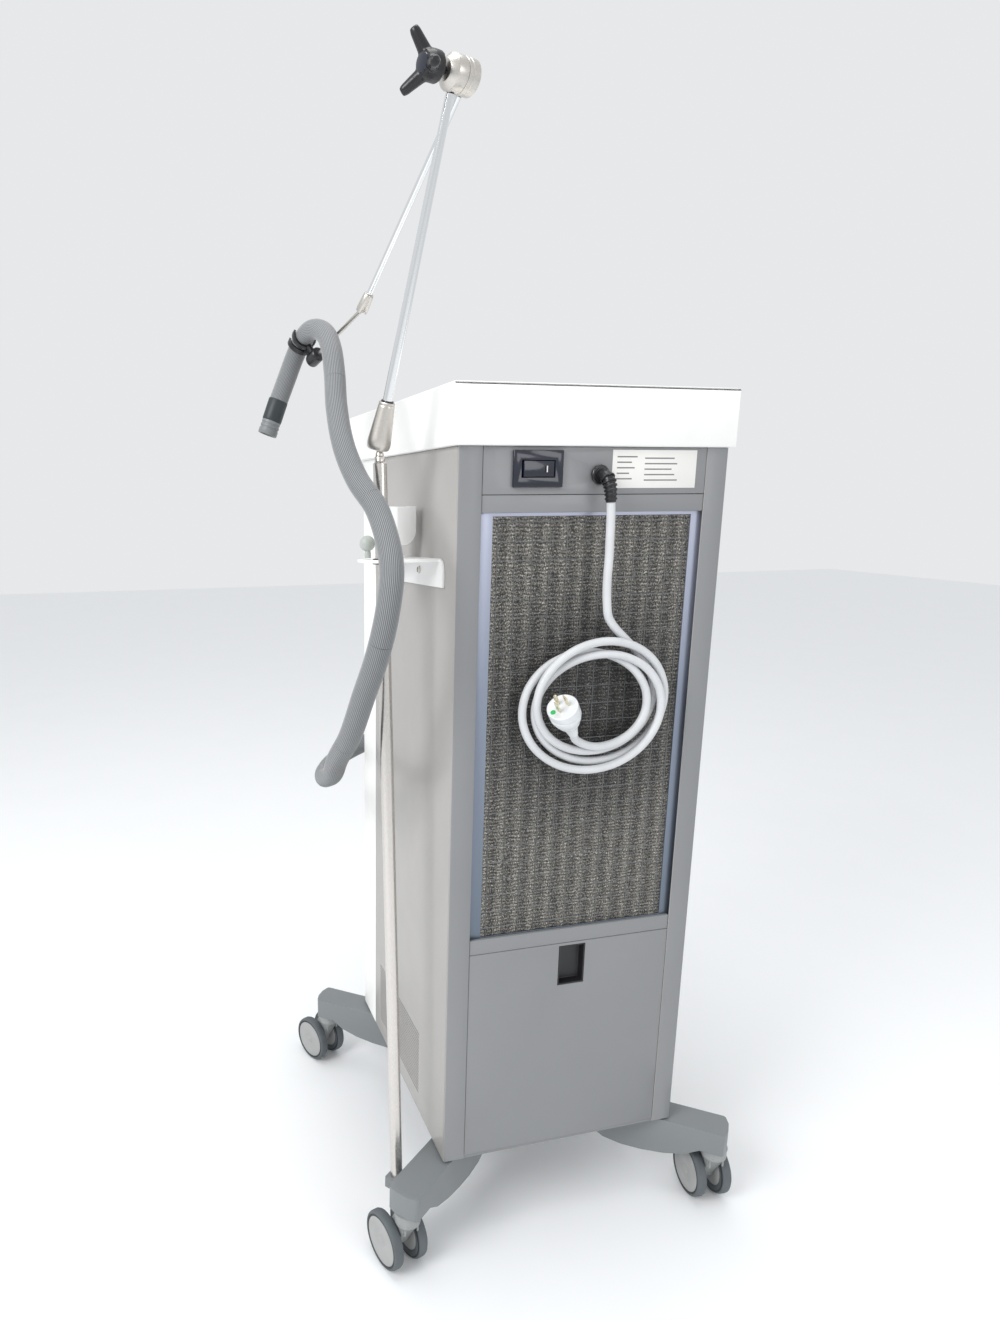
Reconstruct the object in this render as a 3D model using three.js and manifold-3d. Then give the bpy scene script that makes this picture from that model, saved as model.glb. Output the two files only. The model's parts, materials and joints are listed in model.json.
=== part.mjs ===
// A mobile cold-air therapy unit: a grey sheet-metal cabinet with white covers on four splayed
// legs with twin-wheel casters, a rear air filter, and a jointed arm on a pole that holds the
// insulated air hose. Millimetres, +Z up, the floor at Z = 0, the rear towards +Y and the pole
// on the +X side.
import * as THREE from 'three';
import { mergeVertices } from 'three/addons/utils/BufferGeometryUtils.js';
import Module from 'manifold-3d';

const wasm = await Module();
wasm.setup();

// ---------------------------------------------------------------- driving dimensions
const GAP = 0.3;                       // running gap between neighbours
const V = (x, y, z) => new THREE.Vector3(x, y, z);

const HALF_WIDTH = 172.5;              // grey cabinet
const REAR = 205.5;
const PANEL_FRONT = -125.5;
const FRONT = -205.5;
const FLOOR_GAP = 133;                 // underside of the cabinet above the floor
const CABINET_TOP = 1057;
const COVER_TOP = 1125;
const SHEET = 2;
const POST = 29.5;                     // width of the panels' rear returns

const FLAP_TOP = 432.7;
const RAIL = { lower: [433.3, 453.3], upper: [984, 1003.7] };
const RAIL_HALF = HALF_WIDTH - POST - 0.5;

const GRILLE = { rows: 18, pitch: 5.5, slot: 2.4, base: 161.5, columns: [[-96, -3], [3, 100]] };

const LEG = { tip: V(241.5, 240, 0), heading: 38.7, length: 190, width: 45.5, top: 129.5 };
const WHEEL = { radius: 37.5, width: 14.5, spread: 19 };
const SWIVEL_INSET = 14;               // swivel axis in from the leg's tip
const TRAIL = 25;                      // axle behind the swivel axis
// How far each caster is swung round from facing the rear, in degrees.
const CASTER_TURN = {
  rear_caster_pole_side: 16, front_caster_pole_side: 25,
  rear_caster_plain_side: -6, front_caster_plain_side: 10,
};
const LEG_TIP_HEIGHT = 96;
const FAN_HEIGHT = 710;

const POLE_FOOT = V(230.35, 183, 90.5);
const BALL = V(245.3, 145.2, 1064.8);  // centre of the lower ball joint
const POLE_RADIUS = 8;
const STUD_LENGTH = 23.5;
const ELBOW = V(204.6, 257.1, 1392.3); // middle of the lower half of the elbow drum
const ELBOW_HEADING = 20;              // the drum's axis, degrees from the X axis
const ARM_SPACING = 15.5;              // between the two arms along the drum's axis
const DRUM_RADIUS = 15.8;
const WRIST = V(249.5, 88.6, 1216.2);
const HUB = V(280, -36, 1180.4);
const BRACKET_HEIGHT = 931;

const HOSE_RADIUS = { lower: 14, upper: 12.3 };
const OUTLET = V(70, FRONT, 612);
const HOSE_ROUTE = [
  V(70, -229, 612), V(72, -252, 609), V(90, -281, 598), V(130, -296, 582), V(176, -284, 569),
  V(214, -249, 562), V(240, -195, 563), V(256, -125, 577), V(269, -45, 604), V(281, 45, 640),
  V(288, 104, 678), V(286, 160, 722), V(282, 209, 782), V(275, 244, 837), V(268, 258, 888),
  V(262, 250, 932), V(265, 205, 989), V(278, 171, 1021), V(286, 141, 1058), V(286, 107, 1104),
  V(282, 82, 1143), V(280, 60, 1173), V(280, 33, 1195), V(283, -1, 1208), V(288, -34, 1211),
  V(293, -57, 1203), V(300, -71, 1186), V(311, -79, 1157), V(325, -82, 1122), V(334, -83, 1098),
];
const HOSE_SPLIT = 0.685;              // share of the hose below the arm's reach
const CLIP_PLACES = [0.914, 0.924];      // shares of the hose under the clip's two rings

const GLAND = V(-2, REAR, 1026);
const CORD_RADIUS = 5;
const CORD_ROUTE = [
  V(-6, 227, 994.5), V(-7, 227, 978), V(-8, 226, 958), V(-9, 225, 932), V(-9, 224, 905),
  V(-11, 223, 880), V(-16, 222, 858), V(-21.5, 220.5, 842.5),
];
const ROCKER_TILT = 4;
const COIL = { centre: V(-3, 220, 757), outer: [98, 84], band: 28, depth: 20 };
const PLUG = { face: V(58, 256, 766), tail: V(33, 236, 731), radius: 18.5 };

const COLOURS = {
  side: 0xc8c4c0, rear: 0x8f9296, legs: 0x8b9096, white: 0xf4f5f3, steel: 0xb9b4aa,
  chrome: 0xd8dade, black: 0x141518, hose: 0x777b7f, cuff: 0x1b2226, tyre: 0x6a7277,
  disc: 0xb0b2b2, aluminium: 0xb4bcc6, mesh: 0x8f897a, cable: 0xcfd0cf, copper: 0xb87346,
  dark: 0x3a3d40, display: 0x20262c, frosted: 0xc9cfca, tank: 0xd9dde0,
};

// ---------------------------------------------------------------- solids
const unit = new THREE.Group();

function material(colour, roughness, metalness) {
  return new THREE.MeshStandardMaterial({ color: colour, roughness, metalness });
}

const MATERIALS = {
  side: material(COLOURS.side, 0.45, 0.1), rear: material(COLOURS.rear, 0.45, 0.1),
  legs: material(COLOURS.legs, 0.5, 0.1), white: material(COLOURS.white, 0.4, 0),
  steel: material(COLOURS.steel, 0.32, 0.9), chrome: material(COLOURS.chrome, 0.08, 1),
  black: material(COLOURS.black, 0.35, 0), hose: material(COLOURS.hose, 0.8, 0),
  cuff: material(COLOURS.cuff, 0.5, 0), tyre: material(COLOURS.tyre, 0.7, 0),
  disc: material(COLOURS.disc, 0.4, 0), aluminium: material(COLOURS.aluminium, 0.3, 0.9),
  mesh: material(COLOURS.mesh, 0.5, 0.7), cable: material(COLOURS.cable, 0.5, 0),
  copper: material(COLOURS.copper, 0.3, 1), dark: material(COLOURS.dark, 0.6, 0),
  display: material(COLOURS.display, 0.15, 0), frosted: material(COLOURS.frosted, 0.5, 0),
  tank: material(COLOURS.tank, 0.3, 0),
};

function add(name, geometry, kind) {
  const mesh = new THREE.Mesh(geometry, MATERIALS[kind]);
  mesh.name = name;
  unit.add(mesh);
}

// A geometry as a manifold solid: vertices merged, collapsed triangles left out.
function solidOf(geometry) {
  const bare = geometry.clone();
  bare.deleteAttribute('normal');
  bare.deleteAttribute('uv');
  const merged = mergeVertices(bare, 1e-4);
  const index = merged.index.array;
  const kept = [];
  for (let i = 0; i < index.length; i += 3) {
    const [a, b, c] = [index[i], index[i + 1], index[i + 2]];
    if (a !== b && b !== c && c !== a) kept.push(a, b, c);
  }
  return new wasm.Manifold(new wasm.Mesh({
    numProp: 3,
    vertProperties: Float32Array.from(merged.attributes.position.array),
    triVerts: Uint32Array.from(kept),
  }));
}

function geometryOf(solid) {
  const mesh = solid.getMesh();
  const geometry = new THREE.BufferGeometry();
  geometry.setAttribute('position', new THREE.BufferAttribute(mesh.vertProperties, 3));
  geometry.setIndex(new THREE.BufferAttribute(mesh.triVerts, 1));
  const flat = geometry.toNonIndexed();
  flat.computeVertexNormals();
  return flat;
}

function join(...geometries) {
  return geometryOf(geometries.map(solidOf).reduce((whole, next) => whole.add(next)));
}

function cut(base, ...tools) {
  return geometryOf(tools.map(solidOf).reduce((left, tool) => left.subtract(tool), solidOf(base)));
}

function overlap(a, b) {
  return geometryOf(solidOf(a).intersect(solidOf(b)));
}

function block(x, y, z) {
  return new THREE.BoxGeometry(x[1] - x[0], y[1] - y[0], z[1] - z[0])
    .translate((x[0] + x[1]) / 2, (y[0] + y[1]) / 2, (z[0] + z[1]) / 2);
}

function extruded(points, depth) {
  const shape = new THREE.Shape(points.map(([a, b]) => new THREE.Vector2(a, b)));
  return new THREE.ExtrudeGeometry(shape, { depth, bevelEnabled: false });
}

// An outline in plan, from one height to another.
function upright(points, z) {
  return extruded(points, z[1] - z[0]).translate(0, 0, z[0]);
}

// An outline of (Y, Z) points, swept along X.
function sideways(points, x) {
  return extruded(points, x[1] - x[0])
    .applyMatrix4(new THREE.Matrix4().makeBasis(V(0, 1, 0), V(0, 0, 1), V(1, 0, 0)))
    .translate(x[0], 0, 0);
}

// An outline of (X, Z) points, swept along Y.
function lengthways(points, y) {
  return extruded(points, y[1] - y[0])
    .applyMatrix4(new THREE.Matrix4().makeBasis(V(1, 0, 0), V(0, 0, 1), V(0, -1, 0)))
    .translate(0, y[1], 0);
}

// Corner points of an arc, in degrees.
function arc(cx, cy, radius, from, to, steps) {
  return Array.from({ length: steps + 1 }, (_, i) => {
    const angle = THREE.MathUtils.degToRad(from + ((to - from) * i) / steps);
    return [cx + radius * Math.cos(angle), cy + radius * Math.sin(angle)];
  });
}

function roundedRectangle(x, y, radius, steps = 4) {
  return [
    ...arc(x[1] - radius, y[0] + radius, radius, -90, 0, steps),
    ...arc(x[1] - radius, y[1] - radius, radius, 0, 90, steps),
    ...arc(x[0] + radius, y[1] - radius, radius, 90, 180, steps),
    ...arc(x[0] + radius, y[0] + radius, radius, 180, 270, steps),
  ];
}

// A body turned from a profile of (radius, height) points about the line from one point
// towards another. The profile runs upwards from the axis and ends on it.
function turned(profile, from, towards, sides = 20) {
  const direction = towards.clone().sub(from).normalize();
  const turn = new THREE.Quaternion().setFromUnitVectors(V(0, 1, 0), direction);
  return new THREE.LatheGeometry(profile.map(([r, h]) => new THREE.Vector2(r, h)), sides)
    .applyQuaternion(turn)
    .translate(from.x, from.y, from.z);
}

function rod(from, to, radius, sides = 16) {
  const length = from.distanceTo(to);
  return turned([[0, 0], [radius, 0], [radius, length], [0, length]], from, to, sides);
}

function ball(centre, radius) {
  return new THREE.SphereGeometry(radius, 16, 10).translate(centre.x, centre.y, centre.z);
}

// Part of a smooth route as a path of its own.
function stretch(curve, from, to, steps) {
  const points = Array.from({ length: steps + 1 }, (_, i) =>
    curve.getPointAt(from + ((to - from) * i) / steps));
  return new THREE.CatmullRomCurve3(points, false, 'centripetal');
}

function tube(path, radius, sides, steps) {
  const section = new THREE.Shape(arc(0, 0, radius, 0, 360 - 360 / sides, sides - 1)
    .map(([a, b]) => new THREE.Vector2(a, b)));
  return new THREE.ExtrudeGeometry(section, { steps, extrudePath: path, bevelEnabled: false });
}

// ---------------------------------------------------------------- cabinet
function sidePanel(side) {
  const inner = HALF_WIDTH - SHEET;
  const outline = [
    [HALF_WIDTH, PANEL_FRONT], [HALF_WIDTH, REAR - 3], [HALF_WIDTH - 1, REAR - 1],
    [HALF_WIDTH - 3, REAR], [HALF_WIDTH - POST, REAR], [HALF_WIDTH - POST, REAR - SHEET],
    [inner, REAR - SHEET], [inner, PANEL_FRONT],
  ].map(([x, y]) => [side * x, y]);
  const slots = [];
  for (let row = 0; row < GRILLE.rows; row += 1) {
    const z = GRILLE.base + row * GRILLE.pitch;
    for (const column of GRILLE.columns) {
      const reach = [side * (inner - 2), side * (HALF_WIDTH + 2)].sort((a, b) => a - b);
      slots.push(block(reach, column, [z, z + GRILLE.slot]));
    }
  }
  return cut(upright(outline, [FLOOR_GAP, CABINET_TOP]), ...slots);
}

function cabinet() {
  const inside = HALF_WIDTH - 4;
  add('base_plate', upright(
    roundedRectangle([-inside, inside], [FRONT + 4, REAR - SHEET - 2], 12), [130, 136]), 'rear');
  add('side_panel_pole_side', sidePanel(1), 'side');
  add('side_panel_plain_side', sidePanel(-1), 'side');
  for (const [name, z] of Object.entries(RAIL)) {
    add(`rear_rail_${name}`, block([-RAIL_HALF, RAIL_HALF], [REAR - 6, REAR - 1], z), 'rear');
  }
  add('switch_panel', cut(
    block([-RAIL_HALF, RAIL_HALF], [REAR - 3, REAR - 0.7], [RAIL.upper[1] + 0.6, CABINET_TOP]),
    block([50, 103], [REAR - 9, REAR + 3], [1016, 1049]),
    rod(V(GLAND.x, REAR - 9, GLAND.z), V(GLAND.x, REAR + 3, GLAND.z), 8),
  ), 'rear');
}

const PULL = { x: [-21, 17], z: [372, 429], depth: 15 };

function serviceFlap() {
  add('service_flap', cut(
    block([-RAIL_HALF, RAIL_HALF], [REAR - 4.4, REAR - 0.7], [137.2, FLAP_TOP]),
    block(PULL.x, [REAR - 9, REAR + 3], PULL.z),
  ), 'rear');
  const [x, z] = [PULL.x, PULL.z];
  const back = REAR - 1 - PULL.depth;
  add('finger_pull_cup', cut(
    block([x[0] + GAP, x[1] - GAP], [back, REAR - 1], [z[0] + GAP, z[1] - GAP]),
    block([x[0] + 2, x[1] - 2], [back + 2, REAR + 3], [z[0] + 2, z[1] - 2]),
  ), 'black');
}

const FILTER = { x: [-149.6, 143.9], strip: 17.9, z: [446, 991], foot: 8, head: 11, y: [192.5, 199] };

function filterCassette() {
  const { x, strip, z, foot, head, y } = FILTER;
  const opening = { x: [x[0] + strip, x[1] - strip], z: [z[0] + foot, z[1] - head] };
  add('filter_frame', cut(
    block(x, y, z),
    block(opening.x, [y[0] - 3, y[1] + 3], opening.z),
  ), 'aluminium');
  add('filter_mesh', block(
    [opening.x[0] + GAP, opening.x[1] - GAP], [y[0] + 1, y[1] - 1.5],
    [opening.z[0] + GAP, opening.z[1] - GAP],
  ), 'mesh');
}

const HEAD = { brow: -288, nose: -330, skin: 3 };

function covers() {
  const half = HALF_WIDTH + 5.8;
  const back = REAR + 5.2;
  const { brow, nose, skin } = HEAD;
  const outside = sideways([
    [back, CABINET_TOP + GAP], [back, COVER_TOP - 6], [back - 2, COVER_TOP - 2],
    [back - 6, COVER_TOP], [brow, COVER_TOP], [brow - 8, COVER_TOP - 4],
    [nose, 1072], [nose, 1060], [nose + 3, CABINET_TOP + GAP],
  ], [-half, half]);
  const inside = sideways([
    [back - skin, 1061], [back - skin, COVER_TOP - 7], [back - 9, COVER_TOP - skin],
    [brow - 3, COVER_TOP - skin], [nose + 6, 1070], [nose + 6, 1061],
  ], [-half + skin, half - skin]);
  const opening = block([-half + 14, half - 14], [FRONT + 8, back - 14], [CABINET_TOP - 5, 1065]);
  add('top_cover', cut(outside, inside, opening), 'white');

  const x = HALF_WIDTH;
  const front = [
    ...arc(x - 14, FRONT + 14, 14, 0, -90, 5), ...arc(-x + 14, FRONT + 14, 14, -90, -180, 5),
  ];
  const outer = [[x, PANEL_FRONT - 0.4], ...front, [-x, PANEL_FRONT - 0.4]];
  const inner = outer.map(([a, b]) => [a * (1 - skin / x), b + skin * (b < FRONT + 60 ? 1 : 2)]);
  add('front_cover', cut(
    cut(upright([...outer].reverse(), [FLOOR_GAP, CABINET_TOP]),
      upright([...inner].reverse(), [FLOOR_GAP - 5, CABINET_TOP + 5])),
    rod(V(OUTLET.x, FRONT - 9, OUTLET.z), V(OUTLET.x, FRONT + 9, OUTLET.z), 19, 24),
  ), 'white');

  const slope = new THREE.Vector2(nose - (brow - 8), 1072 - (COVER_TOP - 4));
  const middle = V(0, (nose + brow - 8) / 2, (1072 + COVER_TOP - 4) / 2);
  const display = new THREE.BoxGeometry(210, slope.length() - 14, 2.4)
    .translate(0, 0, 1.2 + GAP)
    .applyMatrix4(new THREE.Matrix4().makeBasis(
      V(1, 0, 0), V(0, -slope.x, -slope.y).normalize(), V(0, slope.y, -slope.x).normalize(),
    ))
    .translate(middle.x, middle.y, middle.z);
  add('display_panel', display, 'display');

  add('hose_outlet', cut(
    turned([[0, GAP], [27, GAP], [27, 4], [21, 6], [20, 23], [0, 23]], OUTLET,
      V(OUTLET.x, FRONT - 9, OUTLET.z), 24),
    rod(V(OUTLET.x, FRONT + 3, OUTLET.z), V(OUTLET.x, FRONT - 30, OUTLET.z), 15),
  ), 'dark');
}

// ---------------------------------------------------------------- running gear
const legHeading = THREE.MathUtils.degToRad(LEG.heading);
const legOut = V(Math.cos(legHeading), Math.sin(legHeading), 0);

function leg(sideX, sideY) {
  const { length, width, top } = LEG;
  const profile = [
    [-3, top], [-3, LEG_TIP_HEIGHT], [33, LEG_TIP_HEIGHT], [52, 84], [80, 76], [110, 72], [138, 71],
    [165, 75], [length, 90], [length, top],
  ].map(([s, z]) => [-s, z]);
  const side = sideways(profile, [-width / 2, width / 2]);
  const plan = upright([
    ...arc(-width / 2 + 6, -7, 6, 180, 110, 3), [-8, 2], [8, 2],
    ...arc(width / 2 - 6, -7, 6, 70, 0, 3),
    [width / 2, -length - 3], [-width / 2, -length - 3],
  ].reverse(), [LEG_TIP_HEIGHT - 40, top + 5]);
  const angle = Math.atan2(sideY * legOut.y, sideX * legOut.x) - Math.PI / 2;
  return overlap(side, plan)
    .rotateZ(angle)
    .translate(sideX * LEG.tip.x, sideY * LEG.tip.y, 0);
}

// The wheels of a caster stand either side of its fork, on one axle along X.
function caster(name, swivel) {
  const axle = V(swivel.x, swivel.y - TRAIL, WHEEL.radius);
  const cap = LEG_TIP_HEIGHT - GAP;
  const web = sideways([
    ...arc(axle.y, axle.z, 13, 150, 360, 8),
    [swivel.y + 15, cap - 12], [swivel.y - 15, cap - 12],
  ], [axle.x - 10.4, axle.x + 10.4]);
  const swung = (solid) => solid.translate(-swivel.x, -swivel.y, 0)
    .rotateZ(THREE.MathUtils.degToRad(CASTER_TURN[name])).translate(swivel.x, swivel.y, 0);
  add(`${name}_fork`, swung(cut(
    join(web, rod(V(swivel.x, swivel.y, cap - 16), V(swivel.x, swivel.y, cap), 17, 20)),
    rod(V(axle.x - 20, axle.y, axle.z), V(axle.x + 20, axle.y, axle.z), 5, 16),
  )), 'legs');
  const { radius, width, spread } = WHEEL;
  const wheel = (side) => turned([
    [0, 1.5], [radius - 9, 1.5], [radius - 8, 0], [radius - 3, 0], [radius, 3],
    [radius, width - 3], [radius - 3, width], [radius - 5, width], [radius - 6, width - 1.5],
    [0, width - 1.5],
  ], V(axle.x + side * (spread - width / 2), axle.y, axle.z),
  V(axle.x + side * 99, axle.y, axle.z), 24);
  add(`${name}_wheels`, swung(join(wheel(1), wheel(-1),
    rod(V(axle.x - spread, axle.y, axle.z), V(axle.x + spread, axle.y, axle.z), 4.2, 12))), 'tyre');
}

function runningGear() {
  for (const [end, sideY] of [['rear', 1], ['front', -1]]) {
    for (const [side, sideX] of [['pole_side', 1], ['plain_side', -1]]) {
      add(`${end}_leg_${side}`, leg(sideX, sideY), 'legs');
      caster(`${end}_caster_${side}`, V(
        sideX * (LEG.tip.x - SWIVEL_INSET * legOut.x),
        sideY * (LEG.tip.y - SWIVEL_INSET * legOut.y), 0,
      ));
    }
  }
}

// ---------------------------------------------------------------- inside the cabinet
// One welded frame: a bulkhead that carries the fan opening, with shelves before and behind it.
function innerChassis() {
  const inside = HALF_WIDTH - SHEET - 0.5;
  const bulkhead = cut(
    block([-inside, inside], [144, 147], [136.4, 1050]),
    rod(V(0, 140, FAN_HEIGHT), V(0, 153, FAN_HEIGHT), 112, 24),
    block([-96, 96], [140, 150], [130, 330]),
  );
  const shelf = (y, z) => block([-inside, inside], y, [z - 3.4, z - 0.4]);
  add('inner_chassis', join(
    bulkhead,
    block([-149.6, 149.6], [144, 199], [442, 445.6]),
    shelf([-65, 147], 390), shelf([-105, 147], 860),
    cut(shelf([-90, 147], 625), block([-115, 115], [92, 144], [600, 640])),
    block([-inside, 3 - inside], [-90, 147], [600, 860]),
    block([inside - 3, inside], [-90, 147], [600, 860]),
    block([-inside, inside], [84, 90], [FAN_HEIGHT - 10, FAN_HEIGHT + 10]),
    rod(V(0, 70, FAN_HEIGHT), V(0, 100, FAN_HEIGHT), 26, 20),
    rod(V(0, 95, FAN_HEIGHT), V(0, 126, FAN_HEIGHT), 4, 12),
  ), 'dark');
}

function coolingPlant() {
  add('compressor', turned([
    [0, 0], [58, 0], [68, 12], [68, 150], [60, 175], [40, 188], [0, 192],
  ], V(-20, -30, 136.3), V(-20, -30, 400), 20), 'black');
  const ribs = [];
  for (let i = 0; i < 16; i += 1) {
    const x = -120 + i * 15;
    ribs.push([x, 182], [x, 176], [x + 8, 176], [x + 8, 182]);
  }
  add('condenser', upright([
    [-126, 152], [126, 152], [126, 182], ...ribs.reverse(), [-126, 182],
  ], [446, 960]), 'aluminium');
  const blades = [0, 1, 2, 3, 4].map((k) => new THREE.BoxGeometry(84, 3, 34)
    .rotateX(0.5).translate(57, 0, 0).rotateY((k * 2 * Math.PI) / 5)
    .translate(0, 122, FAN_HEIGHT));
  add('condenser_fan', cut(
    join(rod(V(0, 104, FAN_HEIGHT), V(0, 138, FAN_HEIGHT), 24), ...blades),
    rod(V(0, 100, FAN_HEIGHT), V(0, 128, FAN_HEIGHT), 4.8),
  ), 'black');
  add('evaporator', cut(
    block([-100, 100], [-60, 60], [390, 590]), block([-97, 97], [-57, 57], [393, 600]),
  ), 'dark');
  const along = (x, radius, sides = 20) => rod(V(x[0], -10, 700), V(x[1], -10, 700), radius, sides);
  add('blower_housing', join(
    cut(along([-60, 60], 75), along([-50, 70], 66)), along([-55, -30], 4, 12)), 'dark');
  add('blower_wheel', cut(
    along([-44, 54], 58), along([-36, 64], 50), along([-50, -30], 4.8, 12)), 'black');
  add('air_duct', tube(new THREE.CatmullRomCurve3([
    V(20, -88, 700), V(21, -104, 697), V(48, -150, 650), V(66, -180, 618), V(70, -201, 612),
  ]), 13, 10, 10), 'dark');
  add('control_box', cut(
    block([-110, 110], [-100, -30], [860, 1000]), block([-107, 107], [-97, -33], [863, 1003]),
  ), 'aluminium');
  add('water_container', cut(
    join(block([-90, 90], [105, 180], [136.4, 300]), rod(V(50, 140, 298), V(50, 140, 322), 18)),
    block([-87.5, 87.5], [107.5, 177.5], [139, 297.5]), rod(V(50, 140, 290), V(50, 140, 330), 15),
  ), 'tank');
}

// ---------------------------------------------------------------- switch and mains lead
function rearPanelFittings() {
  const face = REAR - 0.7 + GAP;
  add('switch_bezel', cut(
    join(block([46, 107], [face, face + 4], [1012, 1053]),
      block([51, 102], [REAR - 8, face + 2], [1017, 1048])),
    block([56, 97], [REAR - 6, face + 9], [1023, 1042]),
  ), 'black');
  const rocker = upright([[-19.2, -4], [19.2, -4], [19.2, 4.2], [0, 2.4], [-19.2, 4.2]], [-8.8, 8.8]);
  add('mains_rocker', rocker.rotateZ(THREE.MathUtils.degToRad(ROCKER_TILT))
    .translate(76.5, face + 0.6, 1032.5), 'black');

  const collar = turned([[0, GAP], [11, GAP], [11, 4], [8, 8], [0, 8]],
    V(GLAND.x, REAR - 0.4, GLAND.z), V(GLAND.x, REAR + 9, GLAND.z), 16);
  const elbow = tube(new THREE.CatmullRomCurve3([
    V(GLAND.x, REAR - 4, GLAND.z), V(-2.5, 216, 1025.5), V(-3.5, 223, 1020), V(-5, 226.5, 1009),
    CORD_ROUTE[0].clone().add(V(0, 0, 2 * GAP)),
  ]), 6.2, 10, 10);
  add('mains_strain_relief', join(collar, elbow), 'black');
  add('mains_cord', tube(new THREE.CatmullRomCurve3(CORD_ROUTE, false, 'centripetal'),
    CORD_RADIUS, 8, 10), 'cable');

  const { centre, outer, band, depth } = COIL;
  const ringProfile = roundedRectangle([outer[0] - band, outer[0]], [-depth / 2, depth / 2], 6, 2);
  const ring = new THREE.LatheGeometry(
    [...ringProfile, ringProfile[0]].map(([r, h]) => new THREE.Vector2(r, h)), 24);
  add('mains_cord_coil', ring.scale(1, 1, outer[1] / outer[0])
    .translate(centre.x, centre.y, centre.z), 'cable');

  const { face: front, tail, radius } = PLUG;
  const axis = tail.clone().sub(front).normalize();
  const across = V(0, 1, 0).cross(axis).normalize();
  const pins = [[-6.4, 0], [6.4, 0]].map(([a]) => {
    const at = front.clone().addScaledVector(across, a);
    return rod(at.clone().addScaledVector(axis, -16), at.clone().addScaledVector(axis, 3), 2.2, 8);
  });
  add('mains_plug', join(
    turned([[0, 0], [radius - 2, 0], [radius, 2], [radius, 20], [radius - 5, 30], [9, 36],
      [6.5, 54], [0, 54]], front, tail, 20),
    ...pins,
  ), 'white');
}

// ---------------------------------------------------------------- pole and bracket
const poleAxis = BALL.clone().sub(POLE_FOOT).normalize();

function alongPole(height) {
  return POLE_FOOT.clone().addScaledVector(poleAxis, (height - POLE_FOOT.z) / poleAxis.z);
}

function poleAndBracket() {
  const top = BALL.clone().addScaledVector(poleAxis, -STUD_LENGTH);
  add('pole', turned([[0, 0], [POLE_RADIUS, 0], [POLE_RADIUS, top.distanceTo(POLE_FOOT) - 2],
    [POLE_RADIUS - 2, top.distanceTo(POLE_FOOT)], [0, top.distanceTo(POLE_FOOT)]],
  POLE_FOOT, top, 20), 'steel');

  // The lug on the leg's side that holds the pole's foot.
  const lug = block([-12, 12], [-14.3, 11], [POLE_FOOT.z + 1, POLE_FOOT.z + 17])
    .rotateZ(legHeading + Math.PI)
    .translate(POLE_FOOT.x, POLE_FOOT.y, 0);
  add('pole_foot_clamp', cut(lug,
    rod(alongPole(POLE_FOOT.z - 9), alongPole(POLE_FOOT.z + 40), POLE_RADIUS + GAP, 20)), 'legs');

  const eye = alongPole(BRACKET_HEIGHT);
  const tilt = Math.atan2(poleAxis.y, poleAxis.z);
  const wall = HALF_WIDTH + GAP - eye.x;
  const plate = sideways([
    [-150, 0], [-150, -34], [20, -34], ...arc(6, -14, 14, 0, 90, 4),
  ], [wall, wall + 3]);
  const flange = upright([
    [wall, 9], [wall, -150], [wall + 38, -150], [wall + 38, -62], [14, -48], [19, -42],
    ...arc(5, -5, 14, 0, 90, 4),
  ], [-4, 0]);
  const hole = rod(V(0, 0, -9), V(0, 0, 9), POLE_RADIUS + 0.5, 20);
  const bracket = cut(join(plate, flange), hole)
    .rotateX(-tilt)
    .translate(eye.x, eye.y, eye.z);
  add('pole_bracket', bracket, 'white');

  const knobFoot = V(8, -36, 2 * GAP).applyAxisAngle(V(1, 0, 0), -tilt).add(eye);
  add('bracket_knob', join(
    rod(knobFoot, knobFoot.clone().add(V(0, 0, 12)), 4),
    ball(knobFoot.clone().add(V(0, 0, 18)), 9.5),
  ), 'frosted');

  const hookFoot = V(-38, -76, 2 * GAP).applyAxisAngle(V(1, 0, 0), -tilt).add(eye);
  const shell = lengthways([
    [hookFoot.x - 23, 991], ...arc(hookFoot.x - 5, 961, 18, 180, 270, 5),
    [hookFoot.x + 2, 943], [hookFoot.x + 2, 991],
  ], [hookFoot.y - 18, hookFoot.y + 18]);
  const pocket = lengthways([
    [hookFoot.x - 20, 999], ...arc(hookFoot.x - 5, 961, 15, 180, 270, 5),
    [hookFoot.x - 1, 946], [hookFoot.x - 1, 999],
  ], [hookFoot.y - 30, hookFoot.y + 15]);
  add('hose_hook', join(
    cut(shell, pocket),
    block([hookFoot.x - 7, hookFoot.x + 2], [hookFoot.y - 8, hookFoot.y + 8], [hookFoot.z, 944]),
  ), 'white');
}

// ---------------------------------------------------------------- jointed arm
const heading = THREE.MathUtils.degToRad(ELBOW_HEADING);
const drumAxis = V(-Math.cos(heading), -Math.sin(heading), 0);
const upperRoot = ELBOW.clone().addScaledVector(drumAxis, ARM_SPACING);

function alongDrum(distance) {
  return ELBOW.clone().addScaledVector(drumAxis, distance);
}

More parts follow.
